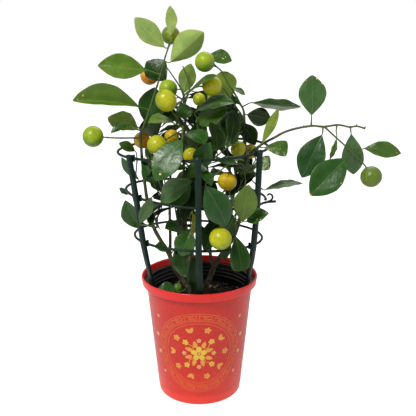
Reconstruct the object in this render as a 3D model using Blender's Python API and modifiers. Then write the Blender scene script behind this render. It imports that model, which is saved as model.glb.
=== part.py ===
"""Potted calamondin tree: a small citrus tree with green and yellow fruits, in a red tapered pot
with a ribbed black liner pot inside it, held up by a three-stake, three-ring cage.

Millimetres in the tables, metres in the model, +Z up. The origin is the middle of the pot's
underside. Each shoot is a twig with its leaves, joined in one solid.
"""

import math
import random

import bmesh
import bpy
import numpy as np
from mathutils import Vector
from mathutils.bvhtree import BVHTree

# ---------------------------------------------------------------- dimensions
MM = 0.001

# pot, 6.5 inch size, lengths in millimetres
POT_HEIGHT = 175.0
RIM_RADIUS = 82.5
RIM_BAND = 11.5
BASE_RADIUS = 59.7
BODY_TOP_RADIUS = 75.3
POT_WALL = 1.5
LINER_WALL = 1.2
LINER_TOP = 166.3
SOIL_TOP = 142.0

# cage of three stakes and three rings
RING_ROD = 1.75
RINGS = {  # centre x, centre y, centre z, radius, rise along x, rise along y
    "bottom": (-1.0, 0.0, 232.5, 89.0, -0.03, -0.05),
    "middle": (-4.0, 0.0, 293.0, 96.0, -0.08, -0.02),
    "top": (-8.0, 0.0, 355.0, 101.5, 0.03, 0.0),
}
STAKE_ANGLES = {"front": (-88.0, -89.7), "left": (-158.0, -140.0), "right": (-17.0, -39.0)}  # at the rim, at the rings
STAKE_DEPTH_TOP, STAKE_DEPTH_FOOT = 5.0, 3.4
STAKE_WIDTH_TOP, STAKE_WIDTH_FOOT = 7.4, 9.4
STAKE_ABOVE_RING, STAKE_FOOT_Z = 4.8, 92.0
STAKE_FOOT_RADIUS = 60.0

LEAF_THICK = 0.8
GAP = 0.35

# ---------------------------------------------------------------- growth
# A direction is a pair of angles in degrees: the first in the front view, anticlockwise from the right
# (90 is up), the second towards the front.
def heading(turn, forward):
    t, f = math.radians(turn), math.radians(forward)
    return np.array((math.cos(t) * math.cos(f), -math.sin(f), math.sin(t) * math.cos(f)))


def grown(start, runs):
    """Points of a stem that grows from start in straight runs of (length, turn, forward)."""
    points = [np.array(start, float)]
    for length, turn, forward in runs:
        points.append(points[-1] + heading(turn, forward) * length)
    return points


def tapered(points, thick, thin, power=1.0):
    """The same points with a radius each, from thick at the foot to thin at the tip."""
    steps = [0.0] + [float(np.linalg.norm(b - a)) for a, b in zip(points, points[1:])]
    total = sum(steps)
    out, run = [], 0.0
    for p, step in zip(points, steps):
        run += step
        out.append(tuple(float(c) for c in p) + (thin + (thick - thin) * (1.0 - run / total) ** power,))
    return out


def along(path, share):
    """The point at a share of a path's length."""
    pts = [np.array(p[:3], float) for p in path]
    steps = [float(np.linalg.norm(b - a)) for a, b in zip(pts, pts[1:])]
    left = share * sum(steps)
    for a, b, step in zip(pts, pts[1:], steps):
        if left <= step or b is pts[-1]:
            return a + (b - a) * min(left / step, 1.0)
        left -= step


def at_height(path, z):
    """The point of a rising stem at height z, or its tip if it ends lower."""
    for a, b in zip(path, path[1:]):
        if min(a[2], b[2]) <= z <= max(a[2], b[2]) and a[2] != b[2]:
            k = (z - a[2]) / (b[2] - a[2])
            return np.array(a[:3], float) * (1 - k) + np.array(b[:3], float) * k
    return np.array(path[-1][:3], float)


def facing(up, aside):
    """Normal of a leaf's upper side: 0 looks at the front, 90 up, 180 at the back; aside is to the right."""
    u, s = math.radians(up), math.radians(aside)
    return (math.sin(s), -math.cos(u) * math.cos(s), math.sin(u) * math.cos(s))


# stem: where it starts (a point in the soil, or a stem and a height on it), radius at foot and tip, runs
STEM_GROWTH = {
    "trunk_right": ((7, -6, 112), 4.6, 1.8, [(39, 87, 0), (17, 72, -15), (17, 66, -25), (21, 62, 0), (16, 56, 0),
                    (22, 58, -5), (42, 76, 0), (37, 88, 3), (29, 88, 5), (36, 91, 5)]),
    "trunk_left": ((-11, -12, 112), 4.1, 1.8, [(40, 95, 0), (19, 119, -5), (18, 128, -15), (22, 112, -15),
                   (27, 121, -10), (26, 115, -5), (44, 99, 3), (44, 95, 5), (39, 92, 3)]),
    "fork_right": (("trunk_right", 181), 2.6, 1.5, [(13, 108, -15), (14, 96, -10), (18, 86, -10), (36, 86, -10),
                   (50, 97, -3), (48, 97, 5), (40, 93, 8)]),
    "stem_centre": (("trunk_left", 183), 2.4, 1.6, [(60, 79, -4), (66, 88, 0), (58, 89, 4), (41, 85, 6)]),
    "stem_back_left": (("trunk_left", 202), 2.2, 1.4, [(25, 88, -35), (44, 92, -25), (58, 88, -10), (52, 82, 0),
                       (33, 80, 10)]),
    "stem_back_right": (("trunk_right", 213), 2.2, 1.3, [(24, 75, -35), (45, 87, -28), (55, 94, -12), (50, 98, 2),
                        (30, 100, 12)]),
    "arching_branch": (("trunk_right", 334), 1.9, 1.1, [(13, 70, 28), (13, 50, 25), (15, 38, 10), (18, 30, 8),
                       (14, 30, 10), (16, 19, 8), (21, 10, 5), (16, -3, 5), (18, 8, 5), (15, -10, 5), (10, 6, 3),
                       (11, -16, 0)]),
    "stalk_left": (("trunk_left", 369), 1.1, 1.0, [(12, 178, 15), (12, 176, 30), (12, 176, 22), (11, 175, 10)]),
}

# fruit: what bears it (stem and height, or shoot, twig and share of the twig), distance from there to the
# fruit's middle, its direction, radius, squash along the axis
FRUIT_GROWTH = {
    "fruit_top": (("shoot_top_left", 0, 0.90), 26, (80, -42), 12.2, 1.0),
    "fruit_top_right": (("shoot_top_right", 0, 0.97), 17, (157, 8), 12.9, 0.98),
    "fruit_upper_left": (("shoot_front_left", 0, 0.35), 46, (118, 22), 13.2, 1.08),
    "fruit_upper_left_rear": (("shoot_centre_top", 0, 0.47), 20, (175, 37), 12.0, 1.0),
    "fruit_orange": (("shoot_top_left", 0, 0.60), 40, (170, -66), 12.8, 0.97),
    "fruit_upper_right": (("shoot_top_right", 1, 1.0), 18, (165, 24), 12.4, 1.0),
    "fruit_far_left": (("stalk_left", 400), 18, (172, 25), 13.9, 0.98),
    "fruit_amber": (("trunk_left", 372), 30, (264, -70), 11.6, 0.95),
    "fruit_inside_left": (("shoot_front_left", 0, 0.30), 41, (209, 24), 12.9, 1.0),
    "fruit_inside_yellow": (("stem_centre", 378), 21, (204, -21), 10.0, 1.0),
    "fruit_behind_stake": (("stem_centre", 362), 32, (-50, 61), 10.5, 1.0),
    "fruit_centre_yellow": (("fork_right", 400), 25, (101, 14), 8.6, 1.0),
    "fruit_right_inner": (("trunk_right", 368), 21, (230, 42), 9.8, 1.15),
    "fruit_right_rear": (("trunk_right", 356), 29, (-47, -62), 10.2, 1.0),
    "fruit_gold": (("shoot_front_right", 0, 0.62), 23, (256, -4), 12.5, 0.96),
    "fruit_low_front": (("shoot_front_right", 1, 0.78), 44, (232, 38), 14.3, 0.97),
    "fruit_far_right": (("shoot_arm_side", 0, 1.0), 16, (-60, 6), 14.3, 0.98),
    "fruit_small_low": (("trunk_left", 172), 16, (251, 36), 6.1, 1.15),
}

# shoot: twigs, each from a stem and a height, or a share of the first twig, with radius at foot and tip and
# its runs; leaves, each with its twig and share, stalk (length, direction), blade (length, direction), width,
# facing, fold of each half in degrees, bow of the blade in mm, share cut square off the tip
SHOOT_GROWTH = {
    "shoot_top_left": (
        [(("trunk_left", 400), 1.7, 0.9, [(23, 67, 0), (34, 71, 0), (30, 71, 0), (27, 74, 0), (16, 64, 4)])],
        [(0, 1.00, (6, 110, 5), (38, 89, 7), 17, (177, 24), 10, 2, 0),
         (0, 0.90, (5, 140, 0), (53, 135, 9), 29, (162, 8), 6, -2, 0),
         (0, 0.70, (14, 40, 0), (60, 41, 12), 36, (165, -6), 12, 4, 0),
         (0, 0.66, (20, 168, 8), (63, 174, 12), 35, (22, 3), 10, 3, 0),
         (0, 0.29, (14, 174, 10), (87, 173, 13), 46, (42, 0), 40, 4, 0.03),
         (0, 0.55, (14, 15, -38), (38, 135, -12), 34, (24, 6), 6, 2, 0),
         (0, 0.06, (14, 10, -59), (54, 80, -5), 38, (6, 11), 10, 3, 0),
         (0, 0.03, (5, 150, 20), (47, 152, 26), 31, (160, 3), 8, 3, 0),
         (0, 0.12, (28, 178, 45), (26, 204, 26), 13, (53, 0), 12, 2, 0)]),
    "shoot_centre_top": (
        [(("stem_centre", 420), 1.5, 0.8, [(21, 100, 5), (13, 113, 0), (28, 124, 0)]),
         (0.17, 1.1, 0.8, [(19, 70, -15), (12, 98, -3), (20, 111, 0)])],
        [(0, 0.15, (9, 150, 70), (74, 27, 37), 36, (68, -20), 10, 6, 0),
         (1, 0.20, (9, 150, -50), (40, 76, -8), 24, (171, 6), 8, 2, 0)]),
    "shoot_top_right": (
        [(("trunk_right", 400), 1.6, 1.0, [(19, 95, 0), (11, 90, 10), (10, 117, 12), (19, 118, 25), (19, 123, 20),
                                          (20, 120, 12), (10, 142, 8)]),
         (0.19, 1.1, 1.0, [(14, 120, 50), (28, 125, 30), (20, 122, 28)])],
        [(0, 0.59, (6, 110, 15), (19, -28, 12), 12, (55, 15), 10, 1, 0),
         (0, 1.00, (33, 126, -64), (32, -11, 4), 22, (31, 6), 8, 1, 0),
         (0, 0.34, (15, 32, 15), (65, -5, 9), 26, (58, 3), 6, -1.5, 0),
         (0, 0.23, (5, 40, 35), (34, -10, 20), 26, (19, 0), 6, 1, 0),
         (0, 0.08, (18, 176, -42), (31, 164, -36), 24, (72, 6), 10, 3, 0),
         (0, 0.12, (8, 145, 35), (36, -56, 5), 24, (18, 15), 10, 2, 0),
         (0, 0.05, (16, 185, 62), (33, 202, 20), 26, (25, 8), 8, 2, 0)]),
    "shoot_arm_foot": (
        [(("arching_branch", 352), 1.1, 0.9, [(8, -60, 60), (9, -80, 40)]),
         (0.30, 1.0, 0.9, [(9, 55, 35), (6, 66, 5)])],
        [(1, 1.00, (4, 45, 0), (52, 66, 4), 13, (165, 15), 10, 2, 0),
         (1, 0.45, (31, 48, 69), (30, -3, 8), 21, (20, 0), 6, 1, 0.34),
         (0, 1.00, (7, 240, 10), (24, 13, 20), 21, (29, 6), 6, 1, 0.30)]),
    "shoot_arm_side": (
        [(("arching_branch", 0.70), 1.1, 1.0, [(19, -42, 8), (17, -41, 5), (18, -43, 0), (16, -42, 0), (7, -50, 0)])],
        [(0, 0.66, (12, 220, 35), (70, 223, 14), 43, (24, -6), 12, 4, 0),
         (0, 0.90, (19, 88, 12), (48, -6, 8), 25, (36, 6), 12, 3, 0)]),
    "leaf_arm_upright": (
        [(("arching_branch", 0.605), 0.9, 0.9, [(10, 90, 0)])],
        [(0, 1.00, (4, 90, 0), (52, 91, -4), 37, (3, 3), 6, 2, 0)]),
    "leaf_arm_left": (
        [(("arching_branch", 0.69), 0.9, 0.9, [(8, -92, 15)])],
        [(0, 1.00, (3, 250, 10), (62, 245, 10), 37, (19, -6), 8, 3, 0)]),
    "leaf_arm_narrow": (
        [(("arching_branch", 0.79), 0.8, 0.8, [(8, -93, 0)])],
        [(0, 1.00, (12, -95, 45), (30, 258, -8), 11, (6, 35), 8, 1, 0)]),
    "leaf_arm_hanging": (
        [(("arching_branch", 0.89), 0.8, 0.8, [(7, -78, -18)])],
        [(0, 1.00, (3, -78, 0), (59, -80, -6), 30, (9, 8), 14, 3, 0)]),
    "shoot_front_left": (
        [(("stem_centre", 372), 1.2, 0.9, [(27, 95, 62), (35, 80, 78), (23, -85, 75)])],
        [(0, 1.00, (11, 270, 60), (60, 235, 21), 37, (23, -15), 10, 4, 0),
         (0, 0.55, (26, 262, 25), (42, 232, 12), 24, (30, -6), 12, 3, 0),
         (0, 0.45, (8, -35, 20), (38, -28, 48), 30, (63, 6), 12, 4, 0),
         (0, 0.35, (10, 145, 10), (41, 170, 32), 30, (66, -6), 12, 4, 0)]),
    "shoot_front_centre": (
        [(("stem_centre", 318), 1.1, 0.9, [(28, 225, 78), (30, 243, 70)])],
        [(0, 1.00, (26, 206, 38), (52, 38, 11), 31, (31, -20), 18, 5, 0),
         (0, 0.75, (25, 18, 40), (39, 216, 12), 26, (24, 6), 10, 3, 0),
         (0, 0.60, (14, 73, 34), (41, 22, 26), 28, (53, 0), 12, 4, 0)]),
    "shoot_left_low": (
        [(("trunk_left", 240), 1.1, 0.8, [(46, 65, 68), (34, 75, 78), (17, 150, 40)]),
         (0.10, 1.0, 0.8, [(20, 169, -30), (22, 117, -10), (20, 105, 0)])],
        [(0, 1.00, (10, 175, -20), (40, 66, 3), 16, (12, 14), 10, 2, 0),
         (1, 0.32, (9, 250, 0), (50, 115, 12), 30, (12, -20), 16, 3, 0),
         (1, 1.00, (3, 120, 0), (27, 120, 17), 13, (9, -20), 8, 1, 0)]),
    "shoot_left_mid": (
        [(("trunk_left", 340), 1.0, 0.8, [(12, 190, -30), (9, 205, -15)]),
         (0.40, 0.9, 0.8, [(26, 262, -20)])],
        [(1, 1.00, (7, 300, 0), (40, 124, 13), 15, (12, -28), 8, 2, 0),
         (0, 0.60, (12, 85, 5), (25, 150, 15), 15, (30, 12), 8, 1, 0),
         (0, 0.45, (26, 8, 62), (44, -58, 14), 27, (30, 6), 10, 3, 0)]),
    "shoot_front_right": (
        [(("trunk_right", 324), 1.2, 0.9, [(35, 113, 65), (37, 162, 60), (33, 207, 47)]),
         (0.28, 1.1, 0.8, [(31, -81, 51), (33, 247, 37), (30, 260, 19)]),
         (0.15, 1.0, 0.8, [(22, -56, 3), (20, -43, -20)])],
        [(0, 1.00, (19, 222, 42), (57, -62, 4), 36, (21, 7), 10, 5, 0),
         (1, 0.93, (10, 15, 20), (55, 83, 12), 31, (13, 0), 8, 3, 0),
         (1, 0.85, (18, -30, -27), (35, 39, 17), 22, (53, 6), 10, 3, 0),
         (2, 1.00, (4, -20, 0), (53, 14, 13), 20, (68, 3), 3, 3, 0),
         (1, 1.00, (12, -80, 45), (45, -80, 12), 27, (9, 9), 8, 2, 0.20)]),
    "shoot_front_low": (
        [(("stem_centre", 262), 1.1, 0.8, [(28, 55, 74), (27, 20, 76), (19, 80, 57)]),
         (0.38, 0.9, 0.8, [(23, -80, 38), (20, -78, 24)])],
        [(0, 0.80, (14, 278, 0), (40, 250, 12), 28, (22, -6), 14, 4, 0),
         (0, 1.00, (8, 60, 48), (31, 268, 12), 14, (0, 53), 14, 2, 0),
         (1, 1.00, (14, -70, 20), (50, -90, 3), 21, (6, -12), 12, 2, 0),
         (1, 0.45, (6, 200, 15), (34, 156, 45), 26, (53, 0), 12, 3, 0)]),
    "shoot_low_left": (
        [(("trunk_left", 192), 1.0, 0.8, [(17, 90, 45), (14, 90, 45)])],
        [(0, 1.00, (14, 105, 50), (23, 158, 32), 18, (53, 0), 10, 2, 0),
         (0, 0.80, (16, 67, 38), (28, 56, 40), 22, (45, 6), 10, 3, 0)]),
    "leaf_over_soil": (
        [(("trunk_left", 159), 0.9, 0.8, [(12, 220, 78), (9, 180, 35)])],
        [(0, 1.00, (5, 180, 0), (26, 164, 16), 24, (52, -9), 10, 3, 0)]),
    "shoot_crown_centre": (
        [(("fork_right", 400), 1.3, 0.9, [(17, 95, 75), (25, 205, 75), (12, 240, 70)]),
         (0.90, 0.9, 0.8, [(26, 280, 10)])],
        [(0, 0.85, (10, 105, 0), (57, 18, 27), 34, (60, 0), 14, 6, 0),
         (0, 0.70, (9, 265, 25), (49, 32, 24), 32, (30, 9), 12, 4, 0),
         (0, 0.05, (12, 15, -45), (63, 62, 7), 35, (168, 6), 8, 3, 0.14),
         (0, 0.30, (15, 152, 30), (40, 174, 27), 32, (63, -6), 12, 4, 0),
         (0, 0.35, (8, -50, 20), (41, -12, 26), 34, (60, 6), 12, 4, 0),
         (1, 1.00, (6, 190, 50), (35, -12, 22), 24, (47, 3), 8, 2, 0)]),
}


def start_of(place, stems):
    """A stem's point at a height, or at a share of its length when the number is a share."""
    name, where = place
    return along(stems[name], where) if where < 1.0 else at_height(stems[name], where)


def grow_stems():
    stems = {}
    for name, (place, thick, thin, runs) in STEM_GROWTH.items():
        start = place if len(place) == 3 else start_of(place, stems)
        stems[name] = tapered(grown(start, runs), thick, thin, 1.5 if name.startswith("trunk") else 1.0)
    return stems


def grow_shoots():
    shoots = {}
    for name, (twigs, leaves) in SHOOT_GROWTH.items():
        paths, blades = [], []
        for place, thick, thin, runs in twigs:
            start = along(paths[0], place) if isinstance(place, float) else start_of(place, STEMS)
            paths.append(tapered(grown(start, runs), thick, thin))
        for twig, share, (stalk, *way), (length, *lie), width, face, fold, bow, cut in leaves:
            base = along(paths[twig], share) + heading(*way) * stalk
            tip = base + heading(*lie) * length
            blades.append((tuple(base), tuple(tip), width, facing(*face), fold, bow, cut))
        shoots[name] = {"twigs": paths, "leaves": blades}
    return shoots


def hang_fruits():
    fruits = {}
    for name, (bearer, reach, way, radius, squash) in FRUIT_GROWTH.items():
        if len(bearer) == 3:
            origin = along(SHOOTS[bearer[0]]["twigs"][bearer[1]], bearer[2])
        else:
            origin = start_of(bearer, STEMS)
        fruits[name] = (tuple(origin + heading(*way) * reach), radius, squash, tuple(origin))
    return fruits


STEMS = grow_stems()
SHOOTS = grow_shoots()
FRUITS = hang_fruits()

# the shoots of the dense inner and rear crown: twigs and number of leaves on them
FILLERS = {
    "shoot_back_left": ([[(-46, 46, 268, 1.3), (-56, 62, 286, 1.1), (-60, 70, 312, 1.0), (-62, 72, 344, 0.9),
                          (-60, 66, 376, 0.8)],
                         [(-58, 66, 299, 1.0), (-72, 52, 306, 0.9), (-80, 38, 318, 0.8)],
                         [(-55, 60, 284, 1.0), (-40, 66, 262, 0.9), (-22, 64, 242, 0.8)]], 24),
    "shoot_back_right": ([[(49, 42, 276, 1.3), (56, 58, 292, 1.1), (60, 66, 316, 1.0), (64, 66, 346, 0.9),
                           (68, 58, 378, 0.8)],
                          [(58, 62, 304, 1.0), (74, 48, 312, 0.9), (80, 34, 322, 0.8)],
                          [(61, 66, 320, 1.0), (44, 70, 336, 0.9), (30, 68, 356, 0.8)]], 22),
    "shoot_back_middle": ([[(15, 32, 306, 1.3), (6, 54, 316, 1.1), (2, 68, 336, 1.0), (2, 72, 368, 0.9),
                            (6, 62, 400, 0.8)],
                           [(4, 61, 326, 1.0), (-14, 68, 318, 0.9), (-24, 70, 300, 0.8)],
                           [(2, 71, 364, 1.0), (-18, 66, 384, 0.9), (-36, 60, 398, 0.8)]], 24),
    "shoot_inner_left": ([[(-26, 2, 272, 1.3), (-42, -12, 284, 1.1), (-54, -28, 300, 1.0), (-60, -38, 322, 0.9),
                           (-66, -30, 348, 0.8)],
                          [(-44, -15, 287, 1.0), (-58, -22, 270, 0.9), (-64, -28, 252, 0.8)],
                          [(-34, -5, 278, 1.0), (-30, -14, 256, 0.9), (-24, -20, 232, 0.8)]], 20),
    "shoot_inner_right": ([[(20, 22, 278, 1.3), (30, 0, 284, 1.1), (38, -22, 290, 1.0), (52, -36, 306, 0.9),
                            (62, -38, 330, 0.8)],
                           [(32, -6, 285, 1.0), (36, -18, 266, 0.9), (34, -32, 248, 0.8)]], 16),
    "shoot_inner_front": ([[(-20, -2, 336, 1.3), (-8, -20, 330, 1.1), (4, -44, 334, 1.0), (22, -54, 352, 0.9),
                            (42, -54, 368, 0.8)],
                           [(0, -37, 332, 1.0), (-4, -52, 324, 0.9), (-4, -66, 312, 0.8)]], 15),
    "shoot_crown_rear": ([[(-27, 42, 408, 1.3), (-20, 34, 424, 1.1), (-6, 30, 434, 1.0), (12, 34, 436, 0.9),
                           (28, 34, 430, 0.8)],
                          [(-23, 38, 417, 1.0), (-38, 36, 428, 0.9), (-48, 28, 440, 0.8)],
                         [(12, 34, 435, 1.0), (14, 46, 414, 0.9), (10, 54, 394, 0.8)]], 19),
}

# how far the inner leaves reach: height of the crown over x, then left and right limits over height
CROWN_TOP = [(-90, 405), (-72, 432), (-60, 436), (-46, 428), (-30, 422), (-15, 424), (0, 432), (12, 440), (32, 448),
             (46, 450), (54, 432), (58, 408), (74, 402), (90, 384)]
CROWN_SIDES = [(182, -45, 55), (238, -50, 58), (246, -78, 80), (275, -80, 86), (335, -82, 82), (345, -98, 80),
               (372, -98, 80), (380, -84, 86), (408, -80, 74), (450, -76, 58)]
SHOWN = ["fruit_gold", "fruit_right_inner", "fruit_right_rear", "fruit_amber", "fruit_inside_left",
         "fruit_upper_left", "fruit_upper_left_rear", "fruit_upper_right", "fruit_top_right", "fruit_low_front"]
SIGHT_DROP = 0.17  # a line of sight from the front falls this much for each mm it goes back

# ---------------------------------------------------------------- geometry of the layout
def vec(p):
    return np.array(p[:3], float)


def unit(v):
    n = np.linalg.norm(v)
    return v / n if n > 1e-9 else v


def smooth_path(points, step):
    """A smooth line through the points of a stem (Catmull-Rom), about one point every step."""
    pts = np.array(points, float)
    ext = np.vstack([2 * pts[0] - pts[1], pts, 2 * pts[-1] - pts[-2]])
    out = [pts[0]]
    for i in range(1, len(ext) - 2):
        a, b, c, d = ext[i - 1], ext[i], ext[i + 1], ext[i + 2]
        n = max(1, int(round(np.linalg.norm(c[:3] - b[:3]) / step)))
        for k in range(1, n + 1):
            t = k / n
            out.append(0.5 * (2 * b + (c - a) * t + (2 * a - 5 * b + 4 * c - d) * t * t
                              + (3 * b - a - 3 * c + d) * t ** 3))
    return np.array(out)


def tube_faces(path, sides, extra=0.0):
    """A closed tube round a path of (x, y, z, radius): its points and its faces."""
    path = np.array(path, float)
    pts, faces = [], []
    for i, p in enumerate(path):
        ahead = path[min(i + 1, len(path) - 1), :3] - path[max(i - 1, 0), :3]
        t = unit(ahead)
        ref = np.array((0.0, 0.0, 1.0)) if abs(t[2]) < 0.8 else np.array((1.0, 0.0, 0.0))
        u = unit(np.cross(t, ref))
        w = np.cross(t, u)
        r = (p[3] + extra) / math.cos(math.pi / sides) if extra else p[3]
        c = p[:3] + (t * extra * (1 if i == len(path) - 1 else -1 if i == 0 else 0))
        for k in range(sides):
            a = 2 * math.pi * k / sides
            pts.append(c + r * (math.cos(a) * u + math.sin(a) * w))
    for i in range(len(path) - 1):
        for k in range(sides):
            a, b = i * sides + k, i * sides + (k + 1) % sides
            faces.append((a, b, b + sides, a + sides))
    faces.append(tuple(range(sides - 1, -1, -1)))
    last = (len(path) - 1) * sides
    faces.append(tuple(last + k for k in range(sides)))
    return pts, faces


def blade_width(v, cut):
    """Width of a citrus leaf at v along it, as a share of its widest."""
    s = min(max(v, 0.0), 1.0) * (1.0 - cut)
    return max(math.sin(math.pi * s ** 1.12), 0.0) ** 0.82


def leaf_frame(leaf):
    base, tip, width, normal, fold, bow, cut = leaf
    b, t = vec(base), vec(tip)
    axis = unit(t - b)
    n = np.array(normal, float)
    n = unit(n - axis * n.dot(axis))
    return b, t, axis, n, np.cross(axis, n)


def blade_point(leaf, u, v):
    """A point of the blade: u from -1 to 1 across it, v from 0 to 1 along it."""
    b, t, axis, n, side = leaf_frame(leaf)
    half = 0.5 * leaf[2] * blade_width(v, leaf[6])
    f = math.radians(leaf[4])
    lift = abs(u) * half * math.sin(f) + leaf[5] * 4 * v * (1 - v) - leaf[5] * 0.3 * v * v
    return b + (t - b) * v + side * (u * half * math.cos(f)) + n * lift


def leaf_rows(leaf, root, rows, grow=0.0):
    """Two points at the stalk's foot and top, three a row over the blade, one at a pointed tip."""
    b, t, axis, n, side = leaf_frame(leaf)
    stalk = unit(b - root)
    across = unit(np.cross(stalk, n)) if np.linalg.norm(np.cross(stalk, n)) > 0.1 else side
    if across.dot(side) < 0:
        across = -across
    w = 0.8 + grow
    out = [[root - across * w, root + across * w], [b - side * w, b + side * w]]
    for v in rows + ((1.0,) if leaf[6] > 0.0 else ()):
        row = [blade_point(leaf, u, v) for u in (-1.0, 0.0, 1.0)]
        row[0] = row[0] - side * grow
        row[2] = row[2] + side * grow
        out.append(row)
    if leaf[6] == 0.0:
        out.append([blade_point(leaf, 0.0, 1.0) + axis * grow])
    return out


def blade_faces(index):
    """Faces between rows of 1, 2 or 3 points."""
    faces = []
    for a, b in zip(index, index[1:]):
        if len(a) == 2 and len(b) == 2:
            faces.append((a[0], a[1], b[1], b[0]))
        elif len(a) == 2:
            faces += [(a[0], b[1], b[0]), (a[0], a[1], b[1]), (a[1], b[2], b[1])]
        elif len(b) == 3:
            faces += [(a[0], a[1], b[1], b[0]), (a[1], a[2], b[2], b[1])]
        else:
            faces += [(a[0], a[1], b[0]), (a[1], a[2], b[0])]
    return faces


def leaf_faces(leaf, root, rows, grow=0.0, stalk=True):
    """The leaf as a thin solid, grown a little, for testing that it clears its neighbours."""
    grid = leaf_rows(leaf, root, rows, grow)[0 if stalk else 1:]
    n = leaf_frame(leaf)[3]
    flat, index = [], []
    for row in grid:
        index.append([len(flat) + k for k in range(len(row))])
        flat.extend(row)
    m = len(flat)
    off = n * (LEAF_THICK / 2 + grow)
    pts = [p + off for p in flat] + [p - off for p in flat]
    faces = blade_faces(index)
    faces += [tuple(m + k for k in reversed(f)) for f in faces]
    rim = [row[0] for row in index] + [row[-1] for row in reversed(index)]
    for a, b in zip(rim, rim[1:] + rim[:1]):
        if a != b:
            faces.append((a, b, m + b, m + a))
    return pts, faces


def ball_faces(centre, radius, squash, extra=0.0):
    pts, faces = [], []
    rings, seg = 6, 12
    r = radius + extra
    for i in range(rings + 1):
        phi = math.pi * i / rings
        for k in range(seg):
            a = 2 * math.pi * k / seg
            pts.append(vec(centre) + 1.03 * r * np.array((math.sin(phi) * math.cos(a), math.sin(phi) * math.sin(a),
                                                         math.cos(phi) * max(squash, 1.0))))
    for i in range(rings):
        for k in range(seg):
            a, b = i * seg + k, i * seg + (k + 1) % seg
            faces.append((a, b, b + seg, a + seg))
    return pts, faces


class Space:
    """What has been placed so far, to keep each new piece clear of it."""

    def __init__(self):
        self.items = []

    def add(self, owner, pts, faces):
        pts = np.array(pts)
        tree = BVHTree.FromPolygons([tuple(p) for p in pts], faces)
        self.items.append((owner, pts.min(0), pts.max(0), tree))

    def hits(self, pts, faces, skip=()):
        pts = np.array(pts)
        lo, hi = pts.min(0), pts.max(0)
        tree = None
        found = []
        for owner, a, b, other in self.items:
            if owner in skip or (lo > b).any() or (hi < a).any():
                continue
            if tree is None:
                tree = BVHTree.FromPolygons([tuple(p) for p in pts], faces)
            if tree.overlap(other):
                found.append(owner)
        return found


def ring_path(name, count=40):
    cx, cy, cz, r, sx, sy = RINGS[name]
    out = []
    for k in range(count + 1):
        a = 2 * math.pi * k / count
        x, y = cx + r * math.cos(a), cy + r * math.sin(a)
        out.append((x, y, cz + sx * (x - cx) + sy * (y - cy), RING_ROD))
    return out


def stake_angle(z, name):
    """The side stakes swing round towards the front between the pot's rim and the lowest ring."""
    rim, ring = STAKE_ANGLES[name]
    return rim + (ring - rim) * min(max((z - 150.0) / 82.0, 0.0), 1.0)


def ring_at(ring, angle):
    """Distance from the z axis, and height, of a ring in a direction."""
    cx, cy, cz, r, sx, sy = RINGS[ring]
    a = math.radians(angle)
    d = cx * math.cos(a) + cy * math.sin(a)
    off = -cx * math.sin(a) + cy * math.cos(a)
    reach = d + math.sqrt(r * r - off * off)
    x, y = reach * math.cos(a), reach * math.sin(a)
    return reach, cz + sx * (x - cx) + sy * (y - cy)


def stake_top(name):
    """A stake ends just above the top ring."""
    return ring_at("top", STAKE_ANGLES[name][1])[1] + STAKE_ABOVE_RING


def stake_radius(z, name):
    """Distance of a stake's middle from the z axis: it leans out to stay just outside each ring."""
    marks = [(STAKE_FOOT_Z, STAKE_FOOT_RADIUS), (164.0, 69.0)]
    for ring in ("bottom", "middle", "top"):
        reach, height = ring_at(ring, STAKE_ANGLES[name][1])
        marks.append((height, reach + RING_ROD + 0.5 + STAKE_DEPTH_TOP / 2))
    marks.append((stake_top(name), marks[-1][1] + 0.2))
    zs, rs = zip(*marks)
    return float(np.interp(z, zs, rs))


def stake_stations(name):
    """Middle, width, depth, outward and sideways directions up the stake."""
    levels = [STAKE_FOOT_Z, 128.0, 150.0, 164.0, 182.0, 206.0]
    levels += [ring_at(ring, STAKE_ANGLES[name][1])[1] for ring in ("bottom", "middle", "top")]
    levels += [262.0, 324.0, stake_top(name)]
    out = []
    for z in sorted(levels):
        k = min(max((z - 140.0) / 220.0, 0.0), 1.0)
        wide = STAKE_WIDTH_FOOT + (STAKE_WIDTH_TOP - STAKE_WIDTH_FOOT) * k
        kd = min(max((z - 170.0) / 50.0, 0.0), 1.0)
        deep = STAKE_DEPTH_FOOT + (STAKE_DEPTH_TOP - STAKE_DEPTH_FOOT) * kd
        r, a = stake_radius(z, name), math.radians(stake_angle(z, name))
        u, w = np.array((math.cos(a), math.sin(a), 0.0)), np.array((-math.sin(a), math.cos(a), 0.0))
        out.append((u * r + np.array((0.0, 0.0, z)), wide, deep, u, w))
    return out


def stake_block(name, extra=0.0):
    """The stake's outer block, for testing."""
    pts, faces = [], []
    for c, wide, deep, out, side in stake_stations(name):
        for u, w in ((1, 1), (1, -1), (-1, -1), (-1, 1)):
            pts.append(c + side * u * (wide / 2 + extra) + out * w * (deep / 2 + extra))
    for i in range(len(pts) // 4 - 1):
        for k in range(4):
            a0, b0 = 4 * i + k, 4 * i + (k + 1) % 4
            faces.append((a0, b0, b0 + 4, a0 + 4))
    return pts, faces


def root_on(paths, p, used=()):
    """The point of the twigs nearest p, kept off their very ends and off the roots already used."""
    best = None
    for path in paths:
        fine = [vec(q) for q in resample(path, 0.8)]
        for k in range(1, max(len(fine) - 1, 2)):
            near = min([np.linalg.norm(fine[k] - u) for u in used] or [9.0])
            cost = np.linalg.norm(p - fine[k]) + 4.0 * max(1.8 - near, 0.0)
            if best is None or cost < best[0]:
                best = (cost, fine[k])
    return best[1]


def trimmed(path, space, owner, skip=(), from_end=False, extra=GAP + 0.2, sides=8):
    """The path with its start (or end) moved along it until the tube clears what is there."""
    work = list(map(tuple, path))
    if from_end:
        work.reverse()
    work = resample(work, 1.0)
    for cut in range(0, max(len(work) - 3, 1)):
        piece = work[cut:]
        head = piece[:6]
        if not space.hits(*tube_faces(head, sides, extra), skip=skip):
            work = piece
            break
    if from_end:
        work.reverse()
    return work


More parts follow.
